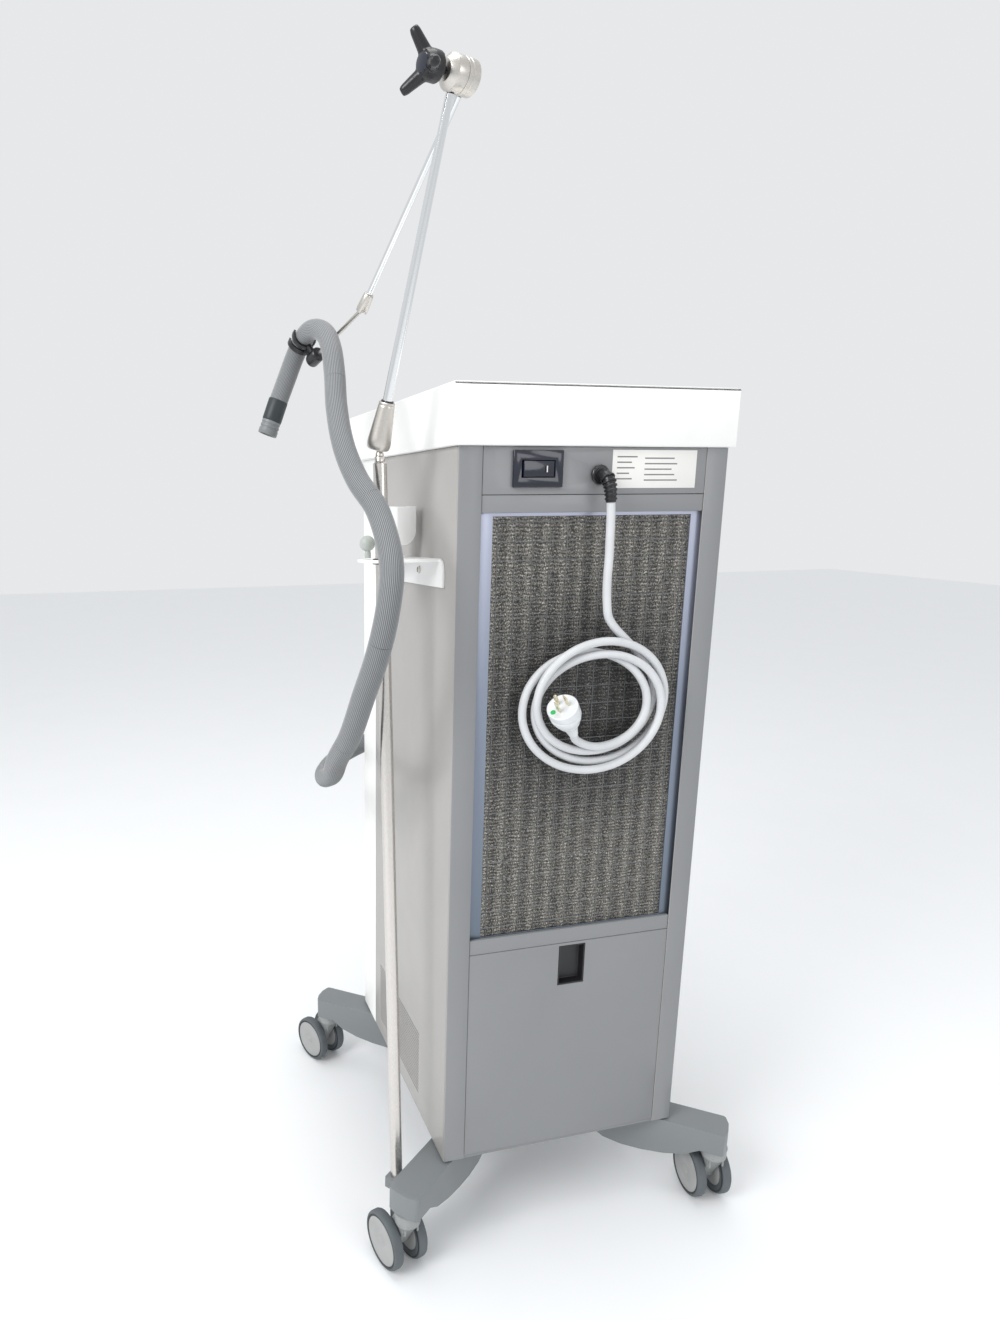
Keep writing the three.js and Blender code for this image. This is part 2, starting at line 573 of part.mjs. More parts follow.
function lowerArm() {
  const top = BALL.clone().addScaledVector(poleAxis, -STUD_LENGTH + GAP);
  add('lower_ball_stud', turned([
    [0, 0], [6, 0], [6, 6], [4.8, 7], [4.8, 9], [3.6, 12], [3.6, 16.7], [7, 20.5],
    [7.8, 23.5], [7, 26.5], [4.5, 29.6], [0, 31],
  ], top, BALL, 20), 'steel');

  const cavity = turned([
    [0, -16], [23.7, -16], [8, -5.4], [8.8, -1.5], [8.8, 1.5], [7.6, 6], [0, 9.6],
  ], BALL, ELBOW, 20);
  add('lower_joint_housing', cut(turned([
    [0, -12.5], [9.5, -12.5], [12.5, -9], [13.6, -4], [13.3, 4], [9.2, 42], [8.2, 44], [0, 44],
  ], BALL, ELBOW, 24), cavity), 'steel');

  const reach = BALL.distanceTo(ELBOW);
  const drum = rod(alongDrum(-30), alongDrum(30), DRUM_RADIUS + GAP, 28);
  add('lower_arm', cut(turned([
    [0, 44 + GAP], [5.6, 44 + GAP], [4.2, reach], [0, reach],
  ], BALL, ELBOW, 16), drum), 'chrome');
  add('elbow_drum_lower', turned([
    [0, 0], [9.5, 0], [DRUM_RADIUS, 6.3], [DRUM_RADIUS, 18.5], [0, 18.5],
  ], alongDrum(-12), alongDrum(30), 28), 'steel');
}

function elbowKnob() {
  const hubEnd = alongDrum(-12 - GAP);
  const out = drumAxis.clone().negate();
  const hub = turned([
    [0, 0], [4.4, 0], [4.4, 8], [13.5, 8], [13.5, 17], [10.5, 26], [0, 26.5],
  ], hubEnd, hubEnd.clone().add(out), 20);
  const lobes = [80, 200, 320].map((degrees) => {
    const angle = THREE.MathUtils.degToRad(degrees);
    const along = V(0, 0, Math.sin(angle))
      .addScaledVector(V(Math.sin(heading), -Math.cos(heading), 0), Math.cos(angle));
    const root = hubEnd.clone().addScaledVector(out, 14.5);
    const tip = root.clone().addScaledVector(along, 29.3).addScaledVector(out, 18.7);
    return turned([[0, 0], [7.8, 0], [5.2, 31], [4, 34.6], [0, 35]], root, tip, 10);
  });
  add('elbow_knob', join(hub, ...lobes), 'black');
}

function upperArm() {
  add('elbow_drum_upper', turned([
    [0, 0], [DRUM_RADIUS, 0], [DRUM_RADIUS, 13.4], [DRUM_RADIUS - 1, 14.5], [0, 14.5],
  ], alongDrum(6.5 + GAP), alongDrum(60), 28), 'steel');
  const reach = upperRoot.distanceTo(WRIST);
  const drum = rod(alongDrum(0), alongDrum(40), DRUM_RADIUS + GAP, 28);
  add('upper_arm', cut(turned([
    [0, 0], [3.6, 0], [3.3, reach - 19 - GAP], [0, reach - 19 - GAP],
  ], upperRoot, WRIST, 14), drum), 'chrome');

  // The wrist ball sits in a socket with a slot in the plane the end rod tilts in.
  const ahead = WRIST.clone().sub(upperRoot).normalize();
  const beyond = WRIST.clone().add(ahead);
  const hinge = ahead.clone().cross(HUB.clone().sub(WRIST)).normalize();
  const slot = new THREE.BoxGeometry(30, 6.4, 12).translate(0, 0, 6)
    .applyMatrix4(new THREE.Matrix4().makeBasis(hinge.clone().cross(ahead), hinge, ahead))
    .translate(WRIST.x, WRIST.y, WRIST.z);
  const socket = turned([
    [0, -5.8], [3.4, -4.8], [5.3, -1], [5.3, 1.5], [4.4, 9], [0, 9],
  ], WRIST, beyond, 16);
  add('wrist_housing', cut(turned([
    [0, -19], [5, -19], [5.9, -17.5], [6.8, -3], [6.9, 1], [6.6, 3.5], [0, 3.5],
  ], WRIST, beyond, 20), socket, slot), 'steel');

  const tip = HUB.clone().lerp(WRIST, 12.3 / HUB.distanceTo(WRIST));
  add('end_rod', join(ball(WRIST, 4.7), rod(WRIST, tip, 2.5, 12)), 'steel');
}

// ---------------------------------------------------------------- hose
const hose = new THREE.CatmullRomCurve3(HOSE_ROUTE, false, 'centripetal');

function hoseClip() {
  const places = CLIP_PLACES.map((t) => [hose.getPointAt(t), hose.getTangentAt(t)]);
  const bore = HOSE_RADIUS.upper + 1;
  const rings = places.map(([centre, tangent]) => {
    const start = centre.clone().addScaledVector(tangent, -3);
    const ahead = centre.clone().addScaledVector(tangent, 3);
    const ring = cut(rod(start, ahead, bore + 2.8, 24),
      rod(start.clone().addScaledVector(tangent, -2), ahead.clone().addScaledVector(tangent, 2),
        bore, 24));
    const away = centre.clone().sub(HUB).normalize();
    const mouth = centre.clone().addScaledVector(away, 22);
    return cut(ring, rod(mouth.clone().addScaledVector(tangent, -9),
      mouth.clone().addScaledVector(tangent, 9), 15, 16));
  });
  const spine = places.map(([centre]) => {
    const towards = HUB.clone().sub(centre).normalize();
    return rod(centre.clone().addScaledVector(towards, bore + 1), HUB, 4, 10);
  });
  const back = WRIST.clone().sub(HUB).normalize();
  const hub = turned([[0, 0], [7, 0], [9, 2.5], [9, 22], [7.5, 24], [0, 24]],
    HUB.clone().addScaledVector(back, -12), WRIST, 18);
  const sleeve = places.map(([centre, tangent]) => rod(
    centre.clone().addScaledVector(tangent, -12), centre.clone().addScaledVector(tangent, 12),
    bore, 24));
  add('hose_clip', cut(join(...rings, ...spine, hub), ...sleeve), 'black');
}

function airHose() {
  const gap = 1 / hose.getLength();
  add('hose_lower', tube(stretch(hose, 0, HOSE_SPLIT, 44), HOSE_RADIUS.lower, 10, 44), 'hose');
  add('hose_upper', tube(stretch(hose, HOSE_SPLIT + gap, 0.985, 32), HOSE_RADIUS.upper, 10, 32),
    'hose');
  const end = hose.getPointAt(0.985).addScaledVector(hose.getTangentAt(1), 3 * GAP);
  const ahead = end.clone().add(hose.getTangentAt(1));
  add('hose_nozzle', cut(
    turned([[0, 0], [13, 0], [13, 22], [12.2, 23], [12.2, 26], [13.2, 27], [13.2, 34], [0, 34]],
      end, ahead, 20),
    turned([[0, 12], [10.4, 12], [10.4, 40], [0, 40]], end, ahead, 16),
  ), 'cuff');
}

cabinet();
serviceFlap();
filterCassette();
covers();
runningGear();
innerChassis();
coolingPlant();
rearPanelFittings();
poleAndBracket();
lowerArm();
elbowKnob();
upperArm();
hoseClip();
airHose();

// The whole stands with its origin under the middle of its box, cords left out.
const CORDS = ['hose_lower', 'hose_upper', 'hose_nozzle', 'mains_cord', 'mains_cord_coil',
  'mains_plug'];
const bounds = new THREE.Box3();
for (const mesh of unit.children) {
  if (!CORDS.includes(mesh.name)) bounds.expandByObject(mesh);
}
const middle = bounds.getCenter(V(0, 0, 0));
unit.position.set(-middle.x, -middle.y, -bounds.min.z);

const coldAirUnit = new THREE.Group();
coldAirUnit.add(unit);
export default coldAirUnit;
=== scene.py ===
import json
import math

import bmesh
import bpy
from mathutils import Matrix, Vector

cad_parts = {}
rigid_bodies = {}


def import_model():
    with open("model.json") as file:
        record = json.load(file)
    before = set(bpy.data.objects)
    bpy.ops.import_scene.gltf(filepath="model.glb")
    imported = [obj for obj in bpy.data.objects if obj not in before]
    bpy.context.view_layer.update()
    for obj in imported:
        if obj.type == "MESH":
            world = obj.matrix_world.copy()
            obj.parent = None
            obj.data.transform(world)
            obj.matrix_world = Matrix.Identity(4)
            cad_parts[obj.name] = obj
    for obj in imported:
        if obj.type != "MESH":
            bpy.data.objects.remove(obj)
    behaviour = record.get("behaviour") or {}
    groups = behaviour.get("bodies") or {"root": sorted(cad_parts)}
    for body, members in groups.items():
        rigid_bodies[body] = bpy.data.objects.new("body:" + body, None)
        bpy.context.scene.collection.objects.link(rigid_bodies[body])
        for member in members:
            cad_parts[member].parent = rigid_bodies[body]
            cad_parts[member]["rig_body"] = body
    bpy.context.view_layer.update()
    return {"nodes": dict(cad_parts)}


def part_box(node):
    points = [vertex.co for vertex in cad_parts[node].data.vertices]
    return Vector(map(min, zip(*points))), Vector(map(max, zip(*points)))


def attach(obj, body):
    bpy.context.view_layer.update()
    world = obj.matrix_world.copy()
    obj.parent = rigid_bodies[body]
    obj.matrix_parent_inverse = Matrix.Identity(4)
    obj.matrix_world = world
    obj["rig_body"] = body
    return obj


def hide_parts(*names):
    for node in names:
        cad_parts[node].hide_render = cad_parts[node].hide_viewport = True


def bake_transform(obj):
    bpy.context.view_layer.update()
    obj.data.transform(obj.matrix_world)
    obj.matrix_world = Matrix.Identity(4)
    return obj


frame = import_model()
NODES = frame["nodes"]

MM = 0.001
WAVE_PERIOD = 0.314159    # a wave texture of this scale repeats once a unit
WIRE_PITCH = 0.0221
HOSE_RIBS = 40
POLE_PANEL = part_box("side_panel_pole_side")
PLAIN_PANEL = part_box("side_panel_plain_side")
REAR = 205.5
FRONT = -205.5
CENTRE = Vector((
    (POLE_PANEL[1].x + PLAIN_PANEL[0].x) / 2, POLE_PANEL[1].y - REAR * MM, 0.0,
))


def at(x, y, z):
    return CENTRE + Vector((x, y, z)) * MM


def direction(a, b):
    return (b - a).normalized()


# ---------------------------------------------------------------- node materials
class Shader:
    """A principled material with small helpers for its procedural detail."""

    def __init__(self, name, colour, rough, metal=0.0, coat=0.0, ior=None):
        self.mat = bpy.data.materials.new(name)
        self.mat.use_nodes = True
        self.tree = self.mat.node_tree
        self.bsdf = self.tree.nodes["Principled BSDF"]
        self.bsdf.inputs["Base Color"].default_value = (*colour, 1)
        self.bsdf.inputs["Roughness"].default_value = rough
        self.bsdf.inputs["Metallic"].default_value = metal
        self.bsdf.inputs["Coat Weight"].default_value = coat
        if ior:
            self.bsdf.inputs["IOR"].default_value = ior
        self.colour, self.rough = colour, rough

    def node(self, kind, **inputs):
        made = self.tree.nodes.new(kind)
        for key, value in inputs.items():
            socket = made.inputs[key.replace("_", " ")]
            if isinstance(value, bpy.types.NodeSocket):
                self.tree.links.new(value, socket)
            else:
                socket.default_value = value
        return made

    def place(self, scale=(1, 1, 1), source="Object"):
        where = self.node("ShaderNodeTexCoord").outputs[source]
        return self.node("ShaderNodeMapping", Vector=where, Scale=scale).outputs["Vector"]

    def noise(self, scale, detail=4.0, stretch=(1, 1, 1)):
        return self.node(
            "ShaderNodeTexNoise", Vector=self.place(stretch), Scale=scale, Detail=detail,
        ).outputs["Fac"]

    def ramp(self, factor, stops):
        made = self.node("ShaderNodeValToRGB", Fac=factor)
        ramp = made.color_ramp
        while len(ramp.elements) < len(stops):
            ramp.elements.new(0.5)
        for element, (place, colour) in zip(ramp.elements, stops):
            element.position = place
            element.color = (*colour, 1) if len(colour) == 3 else (*colour * 3, 1)
        return made.outputs["Color"]

    def tint(self, factor, spread, low=0.35, high=0.65):
        """Colour that wanders a little either side of the base colour."""
        dark = tuple(c * (1 - spread) for c in self.colour)
        light = tuple(min(1, c * (1 + spread)) for c in self.colour)
        colour = self.ramp(factor, [(low, dark), (high, light)])
        self.tree.links.new(colour, self.bsdf.inputs["Base Color"])

    def paint(self, colour):
        self.tree.links.new(colour, self.bsdf.inputs["Base Color"])

    def total(self, first, share, second, second_share):
        """Two values, each times its share, added."""
        a = self.node("ShaderNodeMath")
        a.operation = "MULTIPLY"
        a.inputs[1].default_value = share
        self.tree.links.new(first, a.inputs[0])
        b = self.node("ShaderNodeMath")
        b.operation = "MULTIPLY_ADD"
        b.inputs[1].default_value = second_share
        self.tree.links.new(second, b.inputs[0])
        self.tree.links.new(a.outputs["Value"], b.inputs[2])
        return b.outputs["Value"]

    def gloss(self, factor, low, high):
        made = self.node("ShaderNodeMapRange", Value=factor)
        made.inputs["To Min"].default_value = low
        made.inputs["To Max"].default_value = high
        self.tree.links.new(made.outputs["Result"], self.bsdf.inputs["Roughness"])

    def bump(self, height, distance, strength=0.5):
        made = self.node(
            "ShaderNodeBump", Height=height, Distance=distance, Strength=strength)
        self.tree.links.new(made.outputs["Normal"], self.bsdf.inputs["Normal"])


def painted(name, colour, rough=0.42, spread=0.03):
    """Powder-coated sheet: faint orange peel and slightly uneven gloss."""
    s = Shader(name, colour, rough, coat=0.12)
    s.tint(s.noise(5, 3), spread)
    s.gloss(s.noise(30, 3), rough - 0.06, rough + 0.08)
    s.bump(s.noise(1400, 2), 0.00006, 0.35)
    return s.mat


def moulded(name, colour, rough=0.4, grain=900, spread=0.04, metal=0.0, coat=0.0):
    s = Shader(name, colour, rough, metal, coat)
    s.tint(s.noise(40, 4), spread)
    s.gloss(s.noise(90, 3), rough - 0.05, rough + 0.08)
    s.bump(s.noise(grain, 3), 0.00008, 0.4)
    return s.mat


def turned_metal(name, colour, rough, stretch, spread=0.08):
    """Metal with fine tool or brushing marks across the stretched direction."""
    s = Shader(name, colour, rough, 1.0)
    marks = s.noise(420, 5, stretch)
    s.tint(marks, spread)
    s.gloss(marks, rough - 0.07, rough + 0.12)
    s.bump(marks, 0.00004, 0.3)
    return s.mat


def ribbed_cloth(name, groove_shade, crest):
    """Woven hose cover: painted shade in the grooves between lengthways ribs, with fine crosswise
    picks.
    """
    s = Shader(name, crest, 0.8)
    s.bsdf.inputs["Sheen Weight"].default_value = 0.25
    ribs = s.node("ShaderNodeTexWave", Vector=s.place((1, 1, 1), "UV"),
                  Scale=WAVE_PERIOD * HOSE_RIBS)
    picks = s.node("ShaderNodeTexWave", Vector=s.place((1, 1, 1), "UV"), Scale=1.0)
    picks.bands_direction = "Y"
    picks.inputs["Distortion"].default_value = 1.2
    fuzz = s.total(s.noise(1500, 3), 0.35, ribs.outputs["Fac"], 0.8)
    # The groove colour is painted shade between the ribs.
    s.paint(s.ramp(fuzz, [(0.15, groove_shade), (0.55, tuple(c * 0.8 for c in crest)), (1.0, crest)]))
    s.bump(s.total(picks.outputs["Fac"], 0.7, fuzz, 1.0), 0.0002, 0.6)
    return s.mat


def knitted_wire(name, shaded_hollow):
    """A pad of fine crinkled wire, with painted shade where the fan's opening lies behind it."""
    s = Shader(name, (0.3, 0.29, 0.27), 0.5, 0.35)
    specks = s.noise(620, 6)
    crimp = s.node("ShaderNodeTexVoronoi", Vector=s.place((1, 1, 0.6)), Scale=640.0)
    columns = s.node("ShaderNodeTexWave", Vector=s.place(), Scale=WAVE_PERIOD / WIRE_PITCH)
    columns.inputs["Distortion"].default_value = 1.0
    columns.inputs["Detail Scale"].default_value = 30.0
    rows = s.node("ShaderNodeTexWave", Vector=s.place(), Scale=WAVE_PERIOD / 0.0045)
    rows.bands_direction = "Z"
    rows.inputs["Distortion"].default_value = 5.0
    knit = s.total(specks, 1.0, rows.outputs["Fac"], 0.12)
    knit = s.total(knit, 1.0, crimp.outputs["Distance"], -0.22)
    knit = s.total(knit, 1.0, columns.outputs["Fac"], 0.09)
    # Painted shade: the pad darkens towards the fan's opening behind it.
    away = s.node("ShaderNodeVectorMath", Vector=s.place())
    away.operation = "DISTANCE"
    away.inputs[1].default_value = shaded_hollow
    shade = s.node("ShaderNodeMapRange", Value=away.outputs["Value"])
    shade.interpolation_type = "SMOOTHSTEP"
    shade.inputs["From Min"].default_value = 0.03
    shade.inputs["From Max"].default_value = 0.2
    knit = s.total(knit, 1.0, shade.outputs["Result"], 0.13)
    # The darkest stops are painted shade deep between the crinkled wires.
    s.paint(s.ramp(knit, [
        (0.42, (0.012, 0.012, 0.013)), (0.58, (0.075, 0.072, 0.068)),
        (0.74, (0.24, 0.23, 0.205)), (0.9, (0.62, 0.58, 0.5)), (1.0, (0.95, 0.92, 0.86)),
    ]))
    s.bump(knit, 0.0012, 0.8)
    return s.mat


def lit_from_above_aluminium(name, low, high):
    """Brushed strip with painted light: pale at the top of its height, shading to slate at the
    bottom.
    """
    s = Shader(name, (0.4, 0.43, 0.5), 0.34, 0.6)
    height = s.node("ShaderNodeSeparateXYZ", Vector=s.place()).outputs["Z"]
    share = s.node("ShaderNodeMapRange", Value=height)
    share.inputs["From Min"].default_value = low
    share.inputs["From Max"].default_value = high
    marks = s.noise(420, 4, (8, 8, 0.2))
    mixed = s.total(share.outputs["Result"], 0.9, marks, 0.12)
    # Painted light falloff: the ramp runs from shaded slate at the bottom to pale at the top.
    s.paint(s.ramp(mixed, [(0.0, (0.13, 0.16, 0.2)), (0.6, (0.27, 0.31, 0.39)),
                           (1.0, (0.5, 0.52, 0.64))]))
    s.bump(marks, 0.00004, 0.3)
    return s.mat


def clear_dark(name):
    s = Shader(name, (0.02, 0.025, 0.035), 0.08, coat=0.6)
    s.gloss(s.noise(15, 3), 0.05, 0.14)
    return s.mat


LIGHT_PAINT = painted("Light grey paint", (0.385, 0.372, 0.358))
# The side panels' grey, darkened for rear-facing and hidden parts: painted shade.
SHADED_GREY_PAINT = painted("Mid grey paint", (0.235, 0.24, 0.247))
DARK_PAINT = painted("Dark grey paint", (0.06, 0.062, 0.066))
LEG_PAINT = painted("Leg paint", (0.2, 0.215, 0.222), 0.5)
WHITE_COVER = moulded("White moulding", (0.88, 0.88, 0.865), 0.36, 700, 0.012, coat=0.1)
WHITE_COAT = painted("White powder coat", (0.84, 0.84, 0.83), 0.38, 0.012)
NICKEL = turned_metal("Satin nickel", (0.62, 0.59, 0.55), 0.3, (1, 1, 6))
STEEL = turned_metal("Brushed steel tube", (0.66, 0.63, 0.6), 0.22, (6, 6, 0.5))
CHROME = turned_metal("Chrome", (0.8, 0.81, 0.82), 0.07, (4, 4, 1), 0.02)
ALUMINIUM = turned_metal("Brushed aluminium", (0.62, 0.67, 0.73), 0.32, (8, 8, 0.2), 0.06)
GRID_WIRE = turned_metal("Grid wire", (0.2, 0.205, 0.21), 0.35, (3, 3, 3))
BLACK = moulded("Black plastic", (0.012, 0.012, 0.014), 0.3, 900, 0.1)
GLOSS_BLACK = moulded("Glossy black plastic", (0.008, 0.01, 0.022), 0.14, 300, 0.1, coat=0.4)
DARK_PLASTIC = moulded("Dark plastic", (0.05, 0.053, 0.057), 0.5)
CUFF = moulded("Cuff rubber", (0.022, 0.03, 0.034), 0.45, 1200, 0.1)
RING_GREY = moulded("Ring plastic", (0.19, 0.2, 0.205), 0.42)
TYRE = moulded("Caster tread", (0.1, 0.115, 0.125), 0.62, 1500, 0.08)
# Painted shade for the seams of the caster wheels.
CASTER_SEAM_SHADE = moulded("Black caster ring", (0.02, 0.021, 0.022), 0.5)
DISC = moulded("Caster disc", (0.36, 0.365, 0.36), 0.42)
FORK = moulded("Caster fork", (0.3, 0.31, 0.31), 0.42)
CABLE = moulded("Cable sheath", (0.63, 0.64, 0.655), 0.42, 1500, 0.03)
PLUG_WHITE = moulded("Plug moulding", (0.72, 0.745, 0.76), 0.28, 600, 0.03, coat=0.3)
GREEN_DOT = moulded("Green dot", (0.02, 0.42, 0.1), 0.4)
FROSTED = moulded("Frosted knob", (0.42, 0.45, 0.42), 0.4, 1600, 0.06)
BRASS = turned_metal("Pin metal", (0.72, 0.64, 0.48), 0.25, (2, 2, 2))
PAPER = moulded("Label film", (0.8, 0.79, 0.76), 0.5, 500, 0.01)
INK = moulded("Label print", (0.2, 0.2, 0.2), 0.6)
HOSE_CLOTH = ribbed_cloth("Hose cover", (0.06, 0.063, 0.066), (0.3, 0.31, 0.32))
WIRE_PAD = knitted_wire("Knitted wire pad", at(-10, 199, 745))
STRIP = lit_from_above_aluminium("Filter strip", 0.446, 0.991)
SCREEN = clear_dark("Display glass")
SCREEN_INK = moulded("Display graphics", (0.25, 0.5, 0.6), 0.3)
TANK = moulded("Milky tank", (0.6, 0.63, 0.64), 0.35)
ENAMEL = moulded("Black enamel", (0.015, 0.015, 0.017), 0.3, 500)


def dress(node, mat):
    mesh = NODES[node].data
    mesh.materials.clear()
    mesh.materials.append(mat)


def dress_hidden_parts():
    plain = {
        "inner_chassis": DARK_PAINT, "compressor": ENAMEL, "condenser": ALUMINIUM,
        "condenser_fan": BLACK, "blower_wheel": BLACK, "blower_housing": DARK_PLASTIC,
        "evaporator": DARK_PLASTIC, "air_duct": DARK_PLASTIC, "control_box": ALUMINIUM,
        "water_container": TANK, "pole_foot_clamp": LEG_PAINT, "filter_mesh": WIRE_PAD,
        "base_plate": SHADED_GREY_PAINT,
    }
    for node, mat in plain.items():
        dress(node, mat)


# ---------------------------------------------------------------- mesh helpers
def finish_mesh(obj, mat, angle=35):
    obj.data.materials.clear()
    obj.data.materials.append(mat)
    obj.data.shade_smooth()
    obj.data.set_sharp_from_angle(angle=math.radians(angle))
    return obj


def link(name, mesh):
    obj = bpy.data.objects.new(name.replace(" ", "_"), mesh)
    bpy.context.scene.collection.objects.link(obj)
    return obj


def made(name, bm, mat, body, *nodes, angle=35):
    """A bmesh becomes a named piece that rides on a body and stands for CAD nodes."""
    bmesh.ops.recalc_face_normals(bm, faces=bm.faces)
    mesh = bpy.data.meshes.new(name)
    bm.to_mesh(mesh)
    bm.free()
    obj = finish_mesh(link(name, mesh), mat, angle)
    if body:
        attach(obj, body)
    if nodes:
        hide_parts(*nodes)
    return obj


def body_name(node):
    return NODES[node]["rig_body"]


def bevelled(name, node, mat, width, longest_only=0.0, angle=35, segments=2):
    """The CAD node's own shape with its edges rounded, as a piece in place of it."""
    bm = bmesh.new()
    bm.from_mesh(NODES[node].data)
    bmesh.ops.remove_doubles(bm, verts=bm.verts, dist=2e-6)
    bmesh.ops.dissolve_limit(
        bm, angle_limit=math.radians(1.5), verts=bm.verts, edges=bm.edges)
    edges = [
        e for e in bm.edges
        if len(e.link_faces) == 2 and e.calc_face_angle(0) > math.radians(28)
        and e.calc_length() >= longest_only
    ]
    bmesh.ops.bevel(bm, geom=edges, offset=width * MM, segments=segments, profile=0.5,
                    affect="EDGES", clamp_overlap=True)
    return made(name, bm, mat, body_name(node), node, angle=angle)


def frame_for(axis):
    """Two unit vectors square to an axis."""
    side = Vector((0, 0, 1)) if abs(axis.z) < 0.9 else Vector((0, 1, 0))
    u = axis.cross(side).normalized()
    return u, axis.cross(u).normalized()


def add_lathe(bm, profile, base, axis, sides=48, phase=0.0):
    """Turns a profile of (radius, height) millimetres about an axis from a base point."""
    axis = axis.normalized()
    u, v = frame_for(axis)
    rings = []
    for radius, height in profile:
        middle = base + axis * height * MM
        if radius < 1e-6:
            rings.append([bm.verts.new(middle)])
            continue
        rings.append([
            bm.verts.new(middle + (u * math.cos(a) + v * math.sin(a)) * radius * MM)
            for a in (phase + 2 * math.pi * i / sides for i in range(sides))
        ])
    for low, high in zip(rings, rings[1:]):
        for i in range(sides):
            j = (i + 1) % sides
            corners = [low[i % len(low)], low[j % len(low)], high[j % len(high)],
                       high[i % len(high)]]
            unique = list(dict.fromkeys(corners))
            if len(unique) > 2:
                bm.faces.new(unique)
    return bm


def lathe(name, profile, base, axis, mat, body, *nodes, sides=48, angle=35):
    bm = add_lathe(bmesh.new(), profile, base, axis, sides)
    return made(name, bm, mat, body, *nodes, angle=angle)


def add_tube(bm, points, radius, sides=16, ribs=0.0):
    """A capped tube along points; radius is a function of the share of its length."""
    uv = bm.loops.layers.uv.verify()
    lengths = [0.0]
    for a, b in zip(points, points[1:]):
        lengths.append(lengths[-1] + (b - a).length)
    along = direction(points[0], points[1])
    u, _ = frame_for(along)
    rings = []
    for n, point in enumerate(points):
        ahead = points[min(n + 1, len(points) - 1)] - points[max(n - 1, 0)]
        ahead.normalize()
        u = (u - ahead * u.dot(ahead)).normalized()
        v = ahead.cross(u)
        size = radius(lengths[n] / lengths[-1])
        ring = []
        for i in range(sides):
            a = 2 * math.pi * i / sides
            reach = (size + (ribs if i % 2 else -ribs)) * MM
            ring.append(bm.verts.new(point + (u * math.cos(a) + v * math.sin(a)) * reach))
        rings.append(ring)
    for n, (low, high) in enumerate(zip(rings, rings[1:])):
        for i in range(sides):
            j = (i + 1) % sides
            face = bm.faces.new([low[i], low[j], high[j], high[i]])
            for loop, (a, b) in zip(face.loops, ((0, 0), (1, 0), (1, 1), (0, 1))):
                loop[uv].uv = ((i + a) / sides, lengths[n + b] / 0.0016)
    bm.faces.new(list(reversed(rings[0])))
    bm.faces.new(rings[-1])
    return bm


def spline(points, per_span=10):
    """Centripetal Catmull-Rom through points, with straight ends."""
    ends = [points[0] * 2 - points[1], *points, points[-1] * 2 - points[-2]]
    out = []
    for p0, p1, p2, p3 in zip(ends, ends[1:], ends[2:], ends[3:]):
        t1 = (p1 - p0).length ** 0.5
        t2 = t1 + (p2 - p1).length ** 0.5
        t3 = t2 + (p3 - p2).length ** 0.5
        for k in range(per_span):
            t = t1 + (t2 - t1) * k / per_span
            a1 = p0.lerp(p1, t / t1)
            a2 = p1.lerp(p2, (t - t1) / (t2 - t1))
            a3 = p2.lerp(p3, (t - t2) / (t3 - t2))
            b1 = a1.lerp(a2, t / t2)
            b2 = a2.lerp(a3, (t - t1) / (t3 - t1))
            out.append(b1.lerp(b2, (t - t1) / (t2 - t1)))
    out.append(points[-1].copy())
    return out


class Route:
    """A line through points that can be read at any distance along it."""

    def __init__(self, points):
        self.points = points
        self.lengths = [0.0]
        for a, b in zip(points, points[1:]):
            self.lengths.append(self.lengths[-1] + (b - a).length)
        self.length = self.lengths[-1]

    def point(self, distance):
        distance = min(max(distance, 0.0), self.length)
        for n in range(1, len(self.lengths)):
            if self.lengths[n] >= distance:
                span = self.lengths[n] - self.lengths[n - 1]
                share = (distance - self.lengths[n - 1]) / span
                return self.points[n - 1].lerp(self.points[n], share)
        return self.points[-1].copy()

    def tangent(self, distance):
        return direction(self.point(distance - 0.002), self.point(distance + 0.002))

    def part(self, start, end, step):
        count = max(2, round((end - start) / step))
        return [self.point(start + (end - start) * i / count) for i in range(count + 1)]


def add_block(bm, low, high, bevel=0.0):
    """A box between two corners, its edges rounded."""
    made_box = bmesh.ops.create_cube(bm, size=1.0)
    size = high - low
    place = Matrix.Translation((low + high) / 2) @ Matrix.Diagonal((*size, 1))
    bmesh.ops.transform(bm, matrix=place, verts=made_box["verts"])
    if bevel:
        edges = list({e for v in made_box["verts"] for e in v.link_edges})
        bmesh.ops.bevel(bm, geom=edges, offset=bevel * MM, segments=2, profile=0.5,
                        affect="EDGES", clamp_overlap=True)
    return bm


# ---------------------------------------------------------------- camera and light
CAMERA_PLACE = (531, 1133, 1001)
CAMERA_ROLL = -0.006819
SENSOR_HEIGHT = 24
LENS = 15.6942
LENS_SHIFT = (0.11409, 0.0297)


def set_camera():
    """Behind and above the pole side, at the photograph's angle and framing."""
    data = bpy.data.cameras.new("Camera")
    camera = link("Camera", data)
    forward = Vector((-0.2374, -0.9447, -0.2263)).normalized()
    right = Vector((-0.9698, 0.2438, 0)).normalized()
    up = right.cross(forward)
    x = right * math.cos(CAMERA_ROLL) + up * math.sin(CAMERA_ROLL)
    y = up * math.cos(CAMERA_ROLL) - right * math.sin(CAMERA_ROLL)
    turn = Matrix((x, y, -forward)).transposed().to_4x4()
    camera.matrix_world = Matrix.Translation(at(*CAMERA_PLACE)) @ turn
    data.sensor_fit = "VERTICAL"
    data.sensor_height = SENSOR_HEIGHT
    data.lens = LENS
    data.shift_x, data.shift_y = LENS_SHIFT
    bpy.context.scene.camera = camera


def soft_light(name, place, target, size, power, colour=(1, 1, 1)):
    data = bpy.data.lights.new(name, "AREA")
    data.shape = "DISK"
    data.size = size
    data.energy = power
    data.color = colour
    lamp = link(name, data)
    lamp.location = place
    lamp.rotation_euler = (target - place).to_track_quat("-Z", "Y").to_euler()


